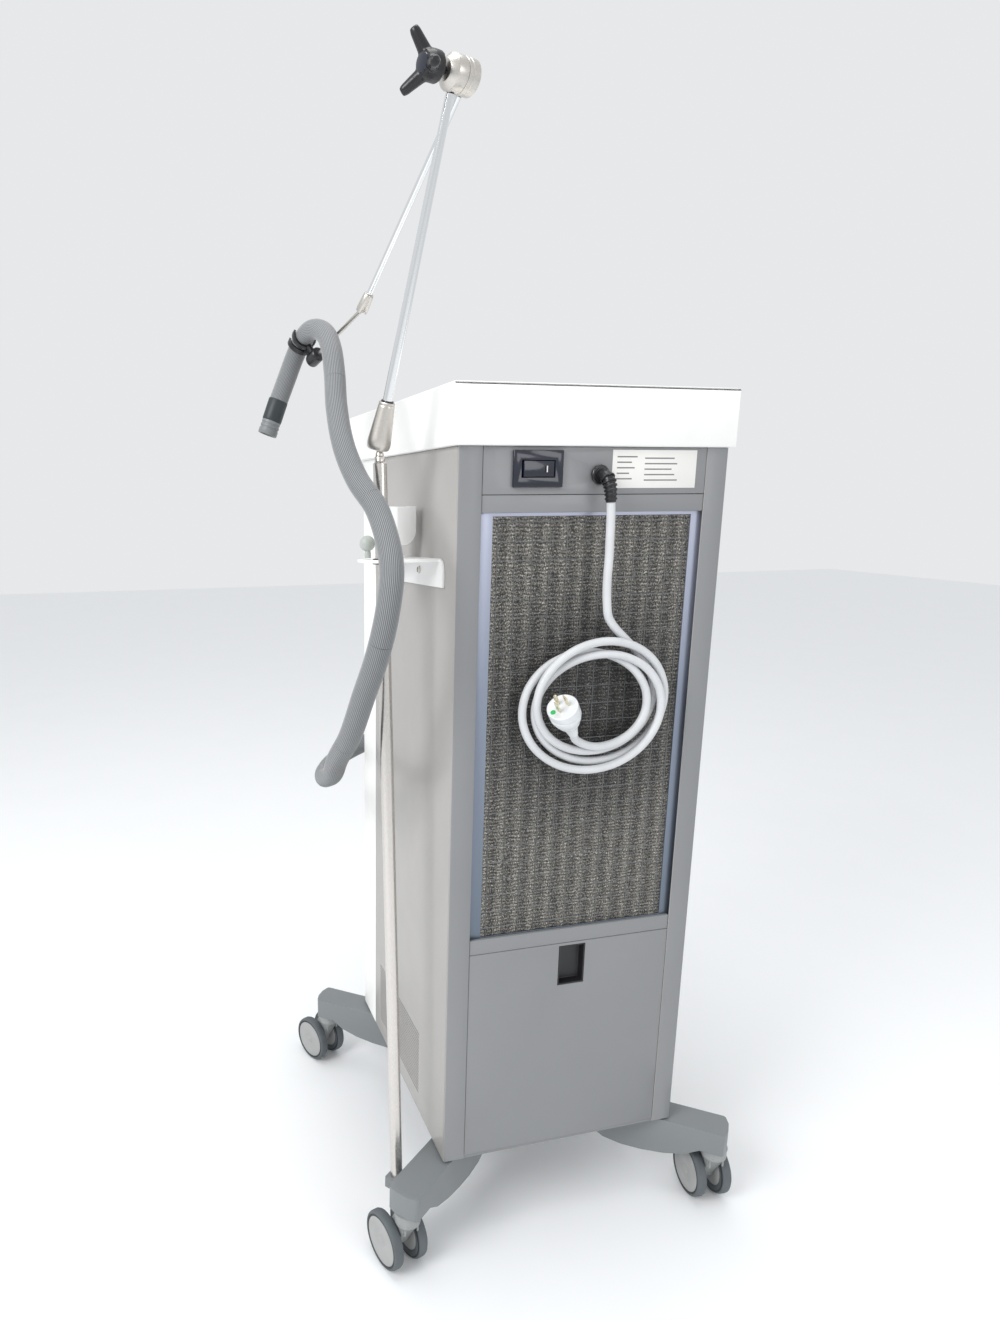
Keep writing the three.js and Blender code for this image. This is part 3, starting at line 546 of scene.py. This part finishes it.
def set_studio():
    scene = bpy.context.scene
    scene.view_settings.view_transform = "Standard"
    scene.view_settings.look = "None"
    world = bpy.data.worlds.new("Studio")
    scene.world = world
    world.use_nodes = True
    sky = world.node_tree.nodes["Background"]
    sky.inputs["Color"].default_value = (0.97, 0.985, 1.0, 1)
    sky.inputs["Strength"].default_value = 0.82
    soft_light("Key", Vector((2.3, 1.2, 2.3)), Vector((0, 0, 0.7)), 1.4, 46)
    soft_light("Rear fill", Vector((-1.1, 2.6, 1.5)), Vector((0, 0, 0.6)), 1.2, 8)
    soft_light("Top", Vector((0.2, 0.2, 3.2)), Vector((0, 0, 0.5)), 1.6, 22)
    bm = bmesh.new()
    bmesh.ops.create_grid(bm, x_segments=1, y_segments=1, size=9)
    bmesh.ops.translate(bm, verts=bm.verts, vec=(0, 0, -0.0005))
    floor = made("Floor", bm, painted("Pale floor", (0.9, 0.91, 0.92), 0.85, 0.004), None)


# ---------------------------------------------------------------- cabinet
def cabinet():
    bevelled("Pole side panel", "side_panel_pole_side", LIGHT_PAINT, 0.7, 0.3, 60)
    bevelled("Plain side panel", "side_panel_plain_side", LIGHT_PAINT, 0.7, 0.3, 60)
    # The rear parts take the shaded copy of the grey: painted shade.
    for node in ("rear_rail_lower", "rear_rail_upper", "switch_panel", "service_flap"):
        bevelled(node.replace("_", " ").capitalize(), node, SHADED_GREY_PAINT, 0.6)
    bevelled("Finger pull", "finger_pull_cup", BLACK, 0.8)
    bevelled("Top cover", "top_cover", WHITE_COVER, 2.6, 0.02, 40, 3)
    bevelled("Front cover", "front_cover", WHITE_COVER, 0.9, 0.3, 40)
    rear_returns()
    bracket_and_hook()
    control_head()
    label()


def rear_returns():
    """The panels' rear returns get the shaded copy of the grey: painted shade on the rear-facing
    faces.
    """
    for name in ("Pole_side_panel", "Plain_side_panel"):
        obj = bpy.data.objects[name]
        obj.data.materials.append(SHADED_GREY_PAINT)
        for polygon in obj.data.polygons:
            if polygon.normal.y > 0.75:
                polygon.material_index = 1


def label():
    """A blank rating plate: a pale film with grey bars and no lettering."""
    face = REAR - 0.7
    bm = add_block(bmesh.new(), at(-129, face, 1011), at(-18, face + 0.35, 1054), 0.15)
    made("Rating plate", bm, PAPER, "cabinet")
    bm = bmesh.new()
    for column, (left, widths) in enumerate(((-24, 26), (-60, 44))):
        for row in range(5):
            top = 1047 - row * 6.2 - column * 1.5
            long = widths - (row * 7 + column * 5) % 11
            add_block(bm, at(left - long, face + 0.33, top - 1.5), at(left, face + 0.42, top))
    made("Rating plate rules", bm, INK, "cabinet")


def control_head():
    """Glass over a generic screen: a field and three keys."""
    low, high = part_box("display_panel")
    bevelled("Display glass", "display_panel", SCREEN, 0.8)
    obj = NODES["display_panel"]
    normal = max(obj.data.polygons, key=lambda p: p.area * (p.normal.z > 0.1)).normal.copy()
    middle = (low + high) / 2 + normal * 1.5 * MM
    down = Vector((1, 0, 0)).cross(normal).normalized()
    bm = bmesh.new()
    for x, w, h in ((-0.035, 0.075, 0.026), (0.035, 0.012, 0.012), (0.055, 0.012, 0.012),
                    (0.075, 0.012, 0.012)):
        spot = middle + Vector((x, 0, 0))
        corners = [spot + Vector((a * w / 2, 0, 0)) + down * (b * h / 2)
                   for a, b in ((-1, -1), (1, -1), (1, 1), (-1, 1))]
        add_slab(bm, corners, normal * 0.0003)
    made("Display graphics", bm, SCREEN_INK, "cabinet")


def add_slab(bm, corners, rise):
    low = [bm.verts.new(c) for c in corners]
    high = [bm.verts.new(c + rise) for c in corners]
    bm.faces.new(low)
    bm.faces.new(high)
    for i in range(len(corners)):
        j = (i + 1) % len(corners)
        bm.faces.new((low[i], low[j], high[j], high[i]))


POLE_FOOT = at(230.35, 183, 90.5)
BALL = at(245.3, 145.2, 1064.8)
POLE_AXIS = direction(POLE_FOOT, BALL)


def bracket_and_hook():
    bevelled("Pole bracket", "pole_bracket", WHITE_COAT, 0.8)
    bevelled("Hose hook", "hose_hook", WHITE_COAT, 0.9)
    screw = add_lathe(bmesh.new(), [(0, 0), (4.6, 0), (4.4, 1.4), (3, 2.3), (0, 2.4)],
                      at(176, 87, 913), Vector((1, 0, 0)), 24)
    made("Bracket screw", screw, NICKEL, "cabinet")
    slot = add_block(bmesh.new(), at(178.1, 86.4, 910.2), at(178.6, 87.6, 915.8))
    made("Screw slot", slot, BLACK, "cabinet")
    eye = POLE_FOOT + POLE_AXIS * ((0.931 - POLE_FOOT.z) / POLE_AXIS.z)
    lathe("Pole grommet", [(8.3, -5), (11.4, -5), (11.4, -4.1), (8.4, -4.1), (8.4, 0.2),
                           (11, 0.2), (11, 1.4), (8.3, 1.4), (8.3, -5)],
          eye, POLE_AXIS, BLACK, "cabinet")
    low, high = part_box("bracket_knob")
    middle = (low + high) / 2
    top = Vector((middle.x, middle.y - 0.3 * MM, high.z - 9.5 * MM))
    ball = [(9.5 * math.cos(a), 9.5 * math.sin(a))
            for a in (math.radians(-90 + 7.5 * i) for i in range(25))]
    ball[0], ball[-1] = (0, -9.5), (0, 9.5)
    neck = [(0, -17.5), (4, -17.5), (4, -12), (3.4, -8.8)]
    lathe("Frosted knob", neck + ball[4:], top, POLE_AXIS, FROSTED, "bracket_knob",
          "bracket_knob", angle=60)


# ---------------------------------------------------------------- filter
def air_filter():
    bevelled("Filter frame", "filter_frame", STRIP, 0.5)
    low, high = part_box("filter_mesh")
    wire = 0.5
    front = high.y + wire * MM
    bm = bmesh.new()
    columns = int((high.x - low.x) / WIRE_PITCH)
    rows = int((high.z - low.z) / WIRE_PITCH)
    for i in range(columns + 1):
        x = low.x + WIRE_PITCH * (i + 0.35)
        if x < high.x:
            ends = [Vector((x, front, low.z)), Vector((x, front, high.z))]
            add_tube(bm, ends, lambda t: wire, 6)
    for i in range(rows + 1):
        z = low.z + WIRE_PITCH * (i + 0.5)
        if z < high.z:
            ends = [Vector((low.x, front - 0.5 * MM, z)), Vector((high.x, front - 0.5 * MM, z))]
            add_tube(bm, ends, lambda t: wire, 6)
    made("Filter grid", bm, GRID_WIRE, "air_filter")
    crimped_pad(low, high)


def crimped_pad(low, high):
    """The pad's face, gently crimped between the grid's wires, in front of its solid."""
    bm = bmesh.new()
    across, up = 84, 176
    grid = []
    for j in range(up + 1):
        row = []
        for i in range(across + 1):
            x = low.x + (high.x - low.x) * i / across
            z = low.z + (high.z - low.z) * j / up
            swell = (math.sin(x / WIRE_PITCH * math.pi) * math.sin(z / WIRE_PITCH * math.pi)) ** 2
            ripple = 0.22 * math.sin(z / 0.0024) * math.sin(x / 0.0031 + math.sin(z / 0.006))
            row.append(bm.verts.new((x, high.y + (0.1 + 0.3 * swell + ripple) * MM, z)))
        grid.append(row)
    for a, b in zip(grid, grid[1:]):
        for i in range(across):
            bm.faces.new((a[i], a[i + 1], b[i + 1], b[i]))
    made("Filter pad face", bm, WIRE_PAD, "air_filter", angle=80)


# ---------------------------------------------------------------- legs and casters
LEG_TIP = (241.5, 240)
LEG_HEADING = math.radians(38.7)
SWIVEL_INSET = 14
WHEEL_RADIUS = 37.5
WHEEL_INNER_FACE = 11.75
TRAIL = 25
CASTER_TURN = {
    "rear_caster_pole_side": 16, "front_caster_pole_side": 25,
    "rear_caster_plain_side": -6, "front_caster_plain_side": 10,
}


def running_gear():
    reach_x = LEG_TIP[0] - SWIVEL_INSET * math.cos(LEG_HEADING)
    reach_y = LEG_TIP[1] - SWIVEL_INSET * math.sin(LEG_HEADING)
    for end, y in (("rear", reach_y), ("front", -reach_y)):
        for side, x in (("pole_side", reach_x), ("plain_side", -reach_x)):
            words = f"{end} {side}".replace("_", " ")
            node = f"{end}_caster_{side}"
            turn = math.radians(CASTER_TURN[node])
            bevelled(f"{words} leg".capitalize(), f"{end}_leg_{side}", LEG_PAINT, 2.6,
                     0.006, 40, 3)
            trail = Vector((math.sin(turn), -math.cos(turn), 0)) * TRAIL * MM
            wheels(words, node + "_wheels", at(x, y, WHEEL_RADIUS) + trail, turn)
            fork(words, node + "_fork", at(x, y, 0), turn)


def wheels(words, node, axle, turn):
    """Two tyres on dished discs on one axle, with a dark ring in the seam round each disc as
    painted shade.
    """
    across = Vector((math.cos(turn), math.sin(turn), 0))
    tyres, discs, rings = bmesh.new(), bmesh.new(), bmesh.new()
    for out in (across, -across):
        base = axle + out * WHEEL_INNER_FACE * MM
        add_lathe(tyres, [
            (26, 1), (33, 0.2), (36.4, 1), (37.5, 3.2), (37.5, 10.4), (36.8, 12.8),
            (35.2, 14.1), (33.9, 14.2), (33.4, 13), (26, 13), (26, 1),
        ], base, out, 56)
        # Painted shade: dark rings fill the seam between disc and tyre and the tyre's inner side
        # between the wheels.
        add_lathe(rings, [(29.5, 12.2), (33.5, 12.2), (33.5, 13.9), (31.2, 14), (31, 13),
                          (29.5, 13), (29.5, 12.2)], base, out, 56)
        add_lathe(rings, [(33, 0.9), (33, -0.1), (34.6, 0.1), (35, 0.9), (33, 0.9)], base, out, 56)
        add_lathe(discs, [
            (0, 0.8), (24, 0.8), (26.4, 2), (29, 11.4), (30.9, 12.6), (30.8, 13.8),
            (29, 14.4), (9, 14), (8, 13.5), (6.6, 13.6), (5, 14.2), (0, 14.3),
        ], base, out, 56)
    add_lathe(discs, [(0, -12), (4.1, -12), (4.1, 12), (0, 12)], axle, across, 20)
    made(f"{words} tyres".capitalize(), tyres, TYRE, node, node)
    made(f"{words} discs".capitalize(), discs, DISC, node)
    made(f"{words} rings".capitalize(), rings, CASTER_SEAM_SHADE, node)


def fork(words, node, swivel, turn):
    """The fork block with four ribs on each cheek and a collar under the leg."""
    bevelled(f"{words} fork".capitalize(), node, FORK, 1.1)
    top = swivel + Vector((0, 0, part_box(node)[1].z))
    bm = bmesh.new()
    for x in (-9.8, 9.8):
        for y in (-9, -3, 3, 9):
            middle = top + Vector((x, y, -21)) * MM
            half = Vector((1.2, 0.9, 9)) * MM
            add_block(bm, middle - half, middle + half, 0.4)
    bmesh.ops.rotate(bm, verts=bm.verts, cent=top, matrix=Matrix.Rotation(turn, 3, "Z"))
    add_lathe(bm, [(14, -3), (17.6, -3), (17.9, -1.6), (17.6, -0.3), (14, -0.3), (14, -3)],
              top, Vector((0, 0, 1)), 40)
    made(f"{words} fork ribs".capitalize(), bm, FORK, node)


# ---------------------------------------------------------------- switch, gland, mains lead
def rear_fittings():
    bevelled("Switch bezel", "switch_bezel", GLOSS_BLACK, 0.7)
    bevelled("Mains rocker", "mains_rocker", GLOSS_BLACK, 0.5)
    low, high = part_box("mains_rocker")
    bm = add_block(bmesh.new(), Vector((low.x + 9 * MM, high.y - 1.6 * MM, low.z + 5 * MM)),
                   Vector((low.x + 10 * MM, high.y - 0.9 * MM, low.z + 12 * MM)))
    made("Rocker mark", bm, PAPER, "mains_rocker")
    strain_relief()
    mains_lead()


GLAND = at(-2, REAR, 1026)
CORD_START = at(-6, 227, 994.5)


def strain_relief():
    face = GLAND - Vector((0, 0.4 * MM, 0))
    out = Vector((0, 1, 0))
    bm = add_lathe(bmesh.new(), [
        (0, 0.4), (11, 0.4), (11.4, 1.4), (11.4, 3.4), (10.6, 4.4), (8.6, 4.8), (8.6, 7), (0, 7),
    ], face, out, 12)
    elbow = spline([at(-2, REAR + 2, 1026), at(-2.5, 216, 1025.5), at(-3.5, 223, 1020),
                    at(-5, 226.5, 1009), CORD_START + Vector((0, 0, 0.6 * MM))])
    route = Route(elbow)
    add_tube(bm, route.part(0, route.length, 0.0012), lambda t: 7.2 - 1.4 * t, 20)
    for i in range(6):
        place = route.length * (0.36 + 0.11 * i)
        step = route.tangent(place)
        size = 8.6 - 0.32 * i
        add_lathe(bm, [(5, -1.3), (size - 0.5, -1.3), (size, -0.6), (size, 0.6),
                       (size - 0.5, 1.3), (5, 1.3)], route.point(place), step, 20)
    made("Strain relief", bm, BLACK, "cabinet", "mains_strain_relief")


COIL_CENTRE = at(-3, 220, 757)
PLUG_FACE = at(58, 256, 766)
PLUG_TAIL = at(33, 236, 731)
COIL_REACH = (98, 84)     # half width and half height of the coil's outline
TWIST_TURNS = 1.3         # turns of the coil for one twist of the strands
FIRST_OUTERMOST = 1.22    # where a strand first lies outermost, in turns from the top


def coil_point(angle, last):
    """A place on the coil's twisted turns; angle in turns, from the top over the plain side."""
    turn = 2 * math.pi * angle
    twist = (turn - 2 * math.pi * FIRST_OUTERMOST) / TWIST_TURNS
    inward = max(0.0, (angle - 3.02) / (last - 3.02))
    inset = 13 - 12 * math.cos(twist) * (1 - inward) + 19 * inward
    depth = -7 * math.sin(twist) * (1 - inward) + 5 * inward
    return COIL_CENTRE + Vector((
        -(COIL_REACH[0] - inset) * math.sin(turn), depth,
        (COIL_REACH[1] - inset) * math.cos(turn),
    )) * MM


def mains_lead():
    drop = [CORD_START, at(-7, 227, 978), at(-8, 226, 958), at(-9, 225, 932), at(-9, 224, 905),
            at(-11, 223, 880), at(-16, 222, 860)]
    first, last, steps = 0.1, 3.5, 48
    turns = [coil_point(first + (last - first) * i / steps, last) for i in range(steps + 1)]
    axis = direction(PLUG_FACE, PLUG_TAIL)
    end = PLUG_FACE + axis * 54 * MM
    route = Route(spline(drop + turns + [end + axis * 14 * MM, end], 6))
    points = route.part(0, route.length, 0.004)
    bm = add_tube(bmesh.new(), points, lambda t: 5.0, 14)
    lead = made("Mains lead", bm, CABLE, "cabinet", "mains_cord", "mains_cord_coil", angle=60)
    plug = mains_plug(axis)
    measured = Route(points).length


def mains_plug(axis):
    body = [(0, 0.6), (15.5, 0.6), (16.8, 0), (18.2, 0.8), (18.5, 2.4), (18.5, 9), (17.4, 10.4),
            (17.4, 12), (18.3, 13.2), (18.3, 17), (16.4, 19), (16.2, 20.4), (16.8, 21.8),
            (16, 25), (13.4, 28.5), (13, 30), (13.2, 31.6), (10.6, 36), (8.6, 40),
            (8.1, 41), (8.3, 42), (7.4, 45), (7, 46), (7.2, 47), (6.4, 50), (6, 54), (0, 54)]
    shell = lathe("Mains plug", body, PLUG_FACE, axis, PLUG_WHITE, "cabinet", "mains_plug")
    across = axis.cross(Vector((0, 1, 0))).normalized()
    up = across.cross(axis).normalized()
    bm = bmesh.new()
    for side in (-1, 1):
        root = PLUG_FACE + across * side * 6.4 * MM + up * 2 * MM
        corners = [root + across * a * 0.8 * MM + up * b * 3.1 * MM + axis * 0.9 * MM
                   for a, b in ((-1, -1), (1, -1), (1, 1), (-1, 1))]
        add_slab(bm, corners, axis * -15.5 * MM)
    add_lathe(bm, [(0, -1), (2.4, -1), (2.4, 13), (1.6, 15), (0, 15.2)],
              PLUG_FACE - up * 7.6 * MM, -axis, 20)
    pins = made("Plug pins", bm, BRASS, "cabinet")
    dot = lathe("Plug dot", [(0, -0.9), (3, -0.9), (3, 0.1), (0, 0.1)],
                PLUG_FACE + across * 12 * MM - up * 2 * MM, -axis, GREEN_DOT, "cabinet",
                sides=24)
    return [shell, pins, dot]


# ---------------------------------------------------------------- pole and arm
ELBOW = at(204.6, 257.1, 1392.3)
WRIST = at(249.5, 88.6, 1216.2)
HUB = at(280, -36, 1180.4)
HEADING = math.radians(20)
DRUM_AXIS = Vector((-math.cos(HEADING), -math.sin(HEADING), 0))
ARM_SPACING = 15.5
UPPER_ROOT = ELBOW + DRUM_AXIS * ARM_SPACING * MM


def pole():
    length = (BALL - POLE_FOOT).length / MM - 23.5
    lathe("Pole", [(0, 0), (7.7, 0), (8, 0.4), (8, length - 1.6), (6.6, length), (0, length)],
          POLE_FOOT, POLE_AXIS, STEEL, "cabinet", "pole", sides=64)
    top = BALL - POLE_AXIS * 23.2 * MM
    lathe("Ball stud", [
        (0, 0), (5.6, 0), (6, 0.5), (6, 5.4), (5.6, 6), (4.8, 6.6), (4.8, 9), (3.6, 12),
        (3.6, 16.7), (7, 20.5), (7.8, 23.5), (7, 26.5), (4.5, 29.6), (0, 31),
    ], top, POLE_AXIS, NICKEL, "arm_foot", "lower_ball_stud")


def lower_arm():
    axis = direction(BALL, ELBOW)
    reach = (ELBOW - BALL).length / MM
    lathe("Lower joint housing", [
        (8.9, -6.2), (12.3, -8.4), (13.2, -6.4), (13.6, -3), (13.55, 2), (13.1, 5),
        (9.5, 38.6), (9.4, 39.6), (9, 40.2), (9, 41.2), (9.4, 41.8), (9.2, 43.2), (8.2, 44),
        (5.4, 44), (5.4, 20), (7.6, 6), (8.8, 1.5), (8.9, -6.2),
    ], BALL, axis, NICKEL, "lower_arm", "lower_joint_housing")
    lathe("Lower arm seal", [(5.4, 43.6), (7.3, 43.6), (7, 45.4), (5.2, 45.8), (5.4, 43.6)],
          BALL, axis, BLACK, "lower_arm")
    lathe("Lower arm tube", [(0, 44.2), (5.6, 44.2), (4.4, reach - 16.1), (0, reach - 16.1)],
          BALL, axis, CHROME, "lower_arm", "lower_arm")
    lathe("Lower drum half", [
        (0, 0), (9, 0), (9.7, 0.4), (15.4, 6), (15.8, 6.8), (15.8, 18), (15.4, 18.5), (0, 18.5),
    ], ELBOW - DRUM_AXIS * 12 * MM, DRUM_AXIS, NICKEL, "lower_arm", "elbow_drum_lower")


def elbow_knob():
    """Hub and three lobes flow into one another: the CAD solid, fused and smoothed."""
    source = NODES["elbow_knob"]
    obj = link("Elbow knob", source.data.copy())
    remesh = obj.modifiers.new("Fuse", "REMESH")
    remesh.mode = "VOXEL"
    remesh.voxel_size = 0.0009
    smooth = obj.modifiers.new("Flow", "SMOOTH")
    smooth.factor = 0.6
    smooth.iterations = 9
    bpy.context.view_layer.update()
    shaped = bpy.data.meshes.new_from_object(
        obj.evaluated_get(bpy.context.evaluated_depsgraph_get()))
    obj.modifiers.clear()
    obj.data = shaped
    finish_mesh(obj, BLACK, 80)
    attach(obj, "elbow_knob")
    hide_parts("elbow_knob")
    hub = ELBOW - DRUM_AXIS * 38.6 * MM
    lathe("Knob cap", [(0, -0.5), (8.6, -0.5), (8.2, 0.9), (6, 1.5), (0, 1.7)], hub, -DRUM_AXIS,
          GLOSS_BLACK, "elbow_knob")


def upper_arm():
    lathe("Upper drum half", [
        (0, 0), (15.4, 0), (15.8, 0.5), (15.8, 4), (15.3, 4.5), (15.3, 5.2), (15.8, 5.7),
        (15.8, 13.5), (14.8, 14.5), (8, 14.5), (7.4, 13.9), (0, 13.9),
    ], ELBOW + DRUM_AXIS * 6.8 * MM, DRUM_AXIS, NICKEL, "upper_arm", "elbow_drum_upper")
    lathe("Drum bolt", [(0, 0), (5.4, 0), (5.4, 1.3), (4.9, 1.8), (3, 1.8), (2.6, 0.9),
                        (0, 0.9)], ELBOW + DRUM_AXIS * 20.6 * MM, DRUM_AXIS, BLACK, "upper_arm",
          sides=32)
    axis = direction(UPPER_ROOT, WRIST)
    reach = (WRIST - UPPER_ROOT).length / MM
    lathe("Upper arm tube", [(0, 16.1), (3.6, 16.1), (3.3, reach - 19.3), (0, reach - 19.3)],
          UPPER_ROOT, axis, CHROME, "upper_arm", "upper_arm", sides=32)
    bevelled("Wrist housing", "wrist_housing", NICKEL, 0.35, 0.0, 50)
    rod_axis = direction(WRIST, HUB)
    ball = [(4.7 * math.cos(a), 4.7 * math.sin(a))
            for a in (math.radians(-90 + 10 * i) for i in range(15))]
    ball[0] = (0, -4.7)
    end = (HUB - WRIST).length / MM - 12.3
    lathe("End rod", ball + [(2.5, 4.2), (2.5, end), (0, end)], WRIST, rod_axis, NICKEL,
          "end_rod", "end_rod", sides=32)
    bevelled("Hose clip", "hose_clip", BLACK, 0.35, 0.0, 40)


# ---------------------------------------------------------------- hose
HOSE_POINTS = [at(*p) for p in (
    (70, -229, 612), (72, -252, 609), (90, -281, 598), (130, -296, 582), (176, -284, 569),
    (214, -249, 562), (240, -195, 563), (256, -125, 577), (269, -45, 604), (281, 45, 640),
    (288, 104, 678), (286, 160, 722), (282, 209, 782), (275, 244, 837), (268, 258, 888),
    (262, 250, 932), (265, 205, 989), (278, 171, 1021), (286, 141, 1058), (286, 107, 1104),
    (282, 82, 1143), (280, 60, 1173), (280, 33, 1195), (283, -1, 1208), (288, -34, 1211),
    (293, -57, 1203), (300, -71, 1186), (311, -79, 1157), (325, -82, 1122), (334, -83, 1098),
)]
HOSE_CARRIERS = (
    # ends at (share of the length), carried by, blends into, where the blend starts and ends
    (0.44, "cabinet", "arm_foot", (269, -45, 604), (287, 130, 700)),
    (0.56, "arm_foot", "lower_arm", (285, 175, 740), (270, 256, 875)),
    (0.68, "lower_arm", "upper_arm", (268, 258, 888), (268, 196, 1000)),
    (0.80, "upper_arm", "wrist", (273, 182, 1012), (286, 116, 1092)),
    (0.985, "wrist", "end_rod", (286, 107, 1104), (280, 62, 1170)),
)


def hose_radius(share):
    """Loose and thick at the outlet, snug at the nozzle."""
    return 15.0 - 2.9 * min(1.0, share / 0.9)


def air_hose():
    route = Route(spline(HOSE_POINTS, 12))
    start = 0.0
    pieces = []
    for n, (share, first, second, begin, stop) in enumerate(HOSE_CARRIERS):
        end = route.length * share
        points = route.part(start, end, 0.006)
        a, b = start / route.length, end / route.length
        bm = add_tube(bmesh.new(), points, lambda t: hose_radius(a + (b - a) * t),
                      2 * HOSE_RIBS, 0.34)
        obj = made(f"Hose length {n + 1}", bm, HOSE_CLOTH, None, angle=80)
        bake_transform(obj)
        pieces.append((obj, points, a, b))
        start = end
    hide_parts("hose_lower")
    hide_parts("hose_upper")
    nozzle = hose_nozzle(route)
    for n, (obj, points, a, b) in enumerate(pieces):
        Route(points).length
    hose_outlet()


def hose_nozzle(route):
    end = route.point(route.length * 0.985)
    ahead = route.tangent(route.length * 0.992)
    cuff = lathe("Nozzle cuff", [
        (0, -13), (12.6, -13), (13.1, -12), (13.1, 14), (12.8, 15.4), (12.2, 16), (0, 16),
    ], end, ahead, CUFF, "end_rod")
    ring = lathe("Nozzle ring", [
        (12.4, 15.6), (12.7, 16.4), (12.7, 19), (12.1, 19.8), (12.1, 21), (12.8, 21.8),
        (12.8, 24.2), (12.1, 25), (12.1, 26.2), (12.9, 27), (12.9, 33.6), (12.4, 34.4),
        (10.8, 34.4), (10.4, 33.8), (10.4, 10), (0, 10), (0, 9), (12.4, 9), (12.4, 15.6),
    ], end, ahead, RING_GREY, "end_rod", "hose_nozzle")
    return [cuff, ring]


def hose_outlet():
    """The socket on the front cover that the hose's collar is pushed on."""
    bevelled("Hose outlet", "hose_outlet", DARK_PLASTIC, 0.5)
    base = at(70, FRONT, 612)
    out = Vector((0, -1, 0))
    lathe("Hose collar", [(15.2, 20), (19.4, 20), (19.8, 21), (19.6, 37), (18, 40), (15, 41)],
          base, out, CUFF, "cabinet")
    screws = bmesh.new()
    for i in range(4):
        a = math.radians(45 + 90 * i)
        spot = base + Vector((math.cos(a), 0, math.sin(a))) * 23.6 * MM + out * 4.2 * MM
        add_lathe(screws, [(0, 0), (1.9, 0), (1.7, 0.9), (0.8, 1.2), (0, 1)], spot, out, 16)
    made("Outlet screws", screws, NICKEL, "cabinet")


def default_materials():
    """Any CAD node that still shows has a finished material."""
    for obj in NODES.values():
        if not obj.hide_render and not any(
                m and m.use_nodes and len(m.node_tree.nodes) > 2 for m in obj.data.materials):
            dress(obj.name, DARK_PLASTIC)


set_camera()
dress_hidden_parts()
air_hose()
rear_fittings()
cabinet()
air_filter()
running_gear()
pole()
lower_arm()
elbow_knob()
upper_arm()
default_materials()
set_studio()
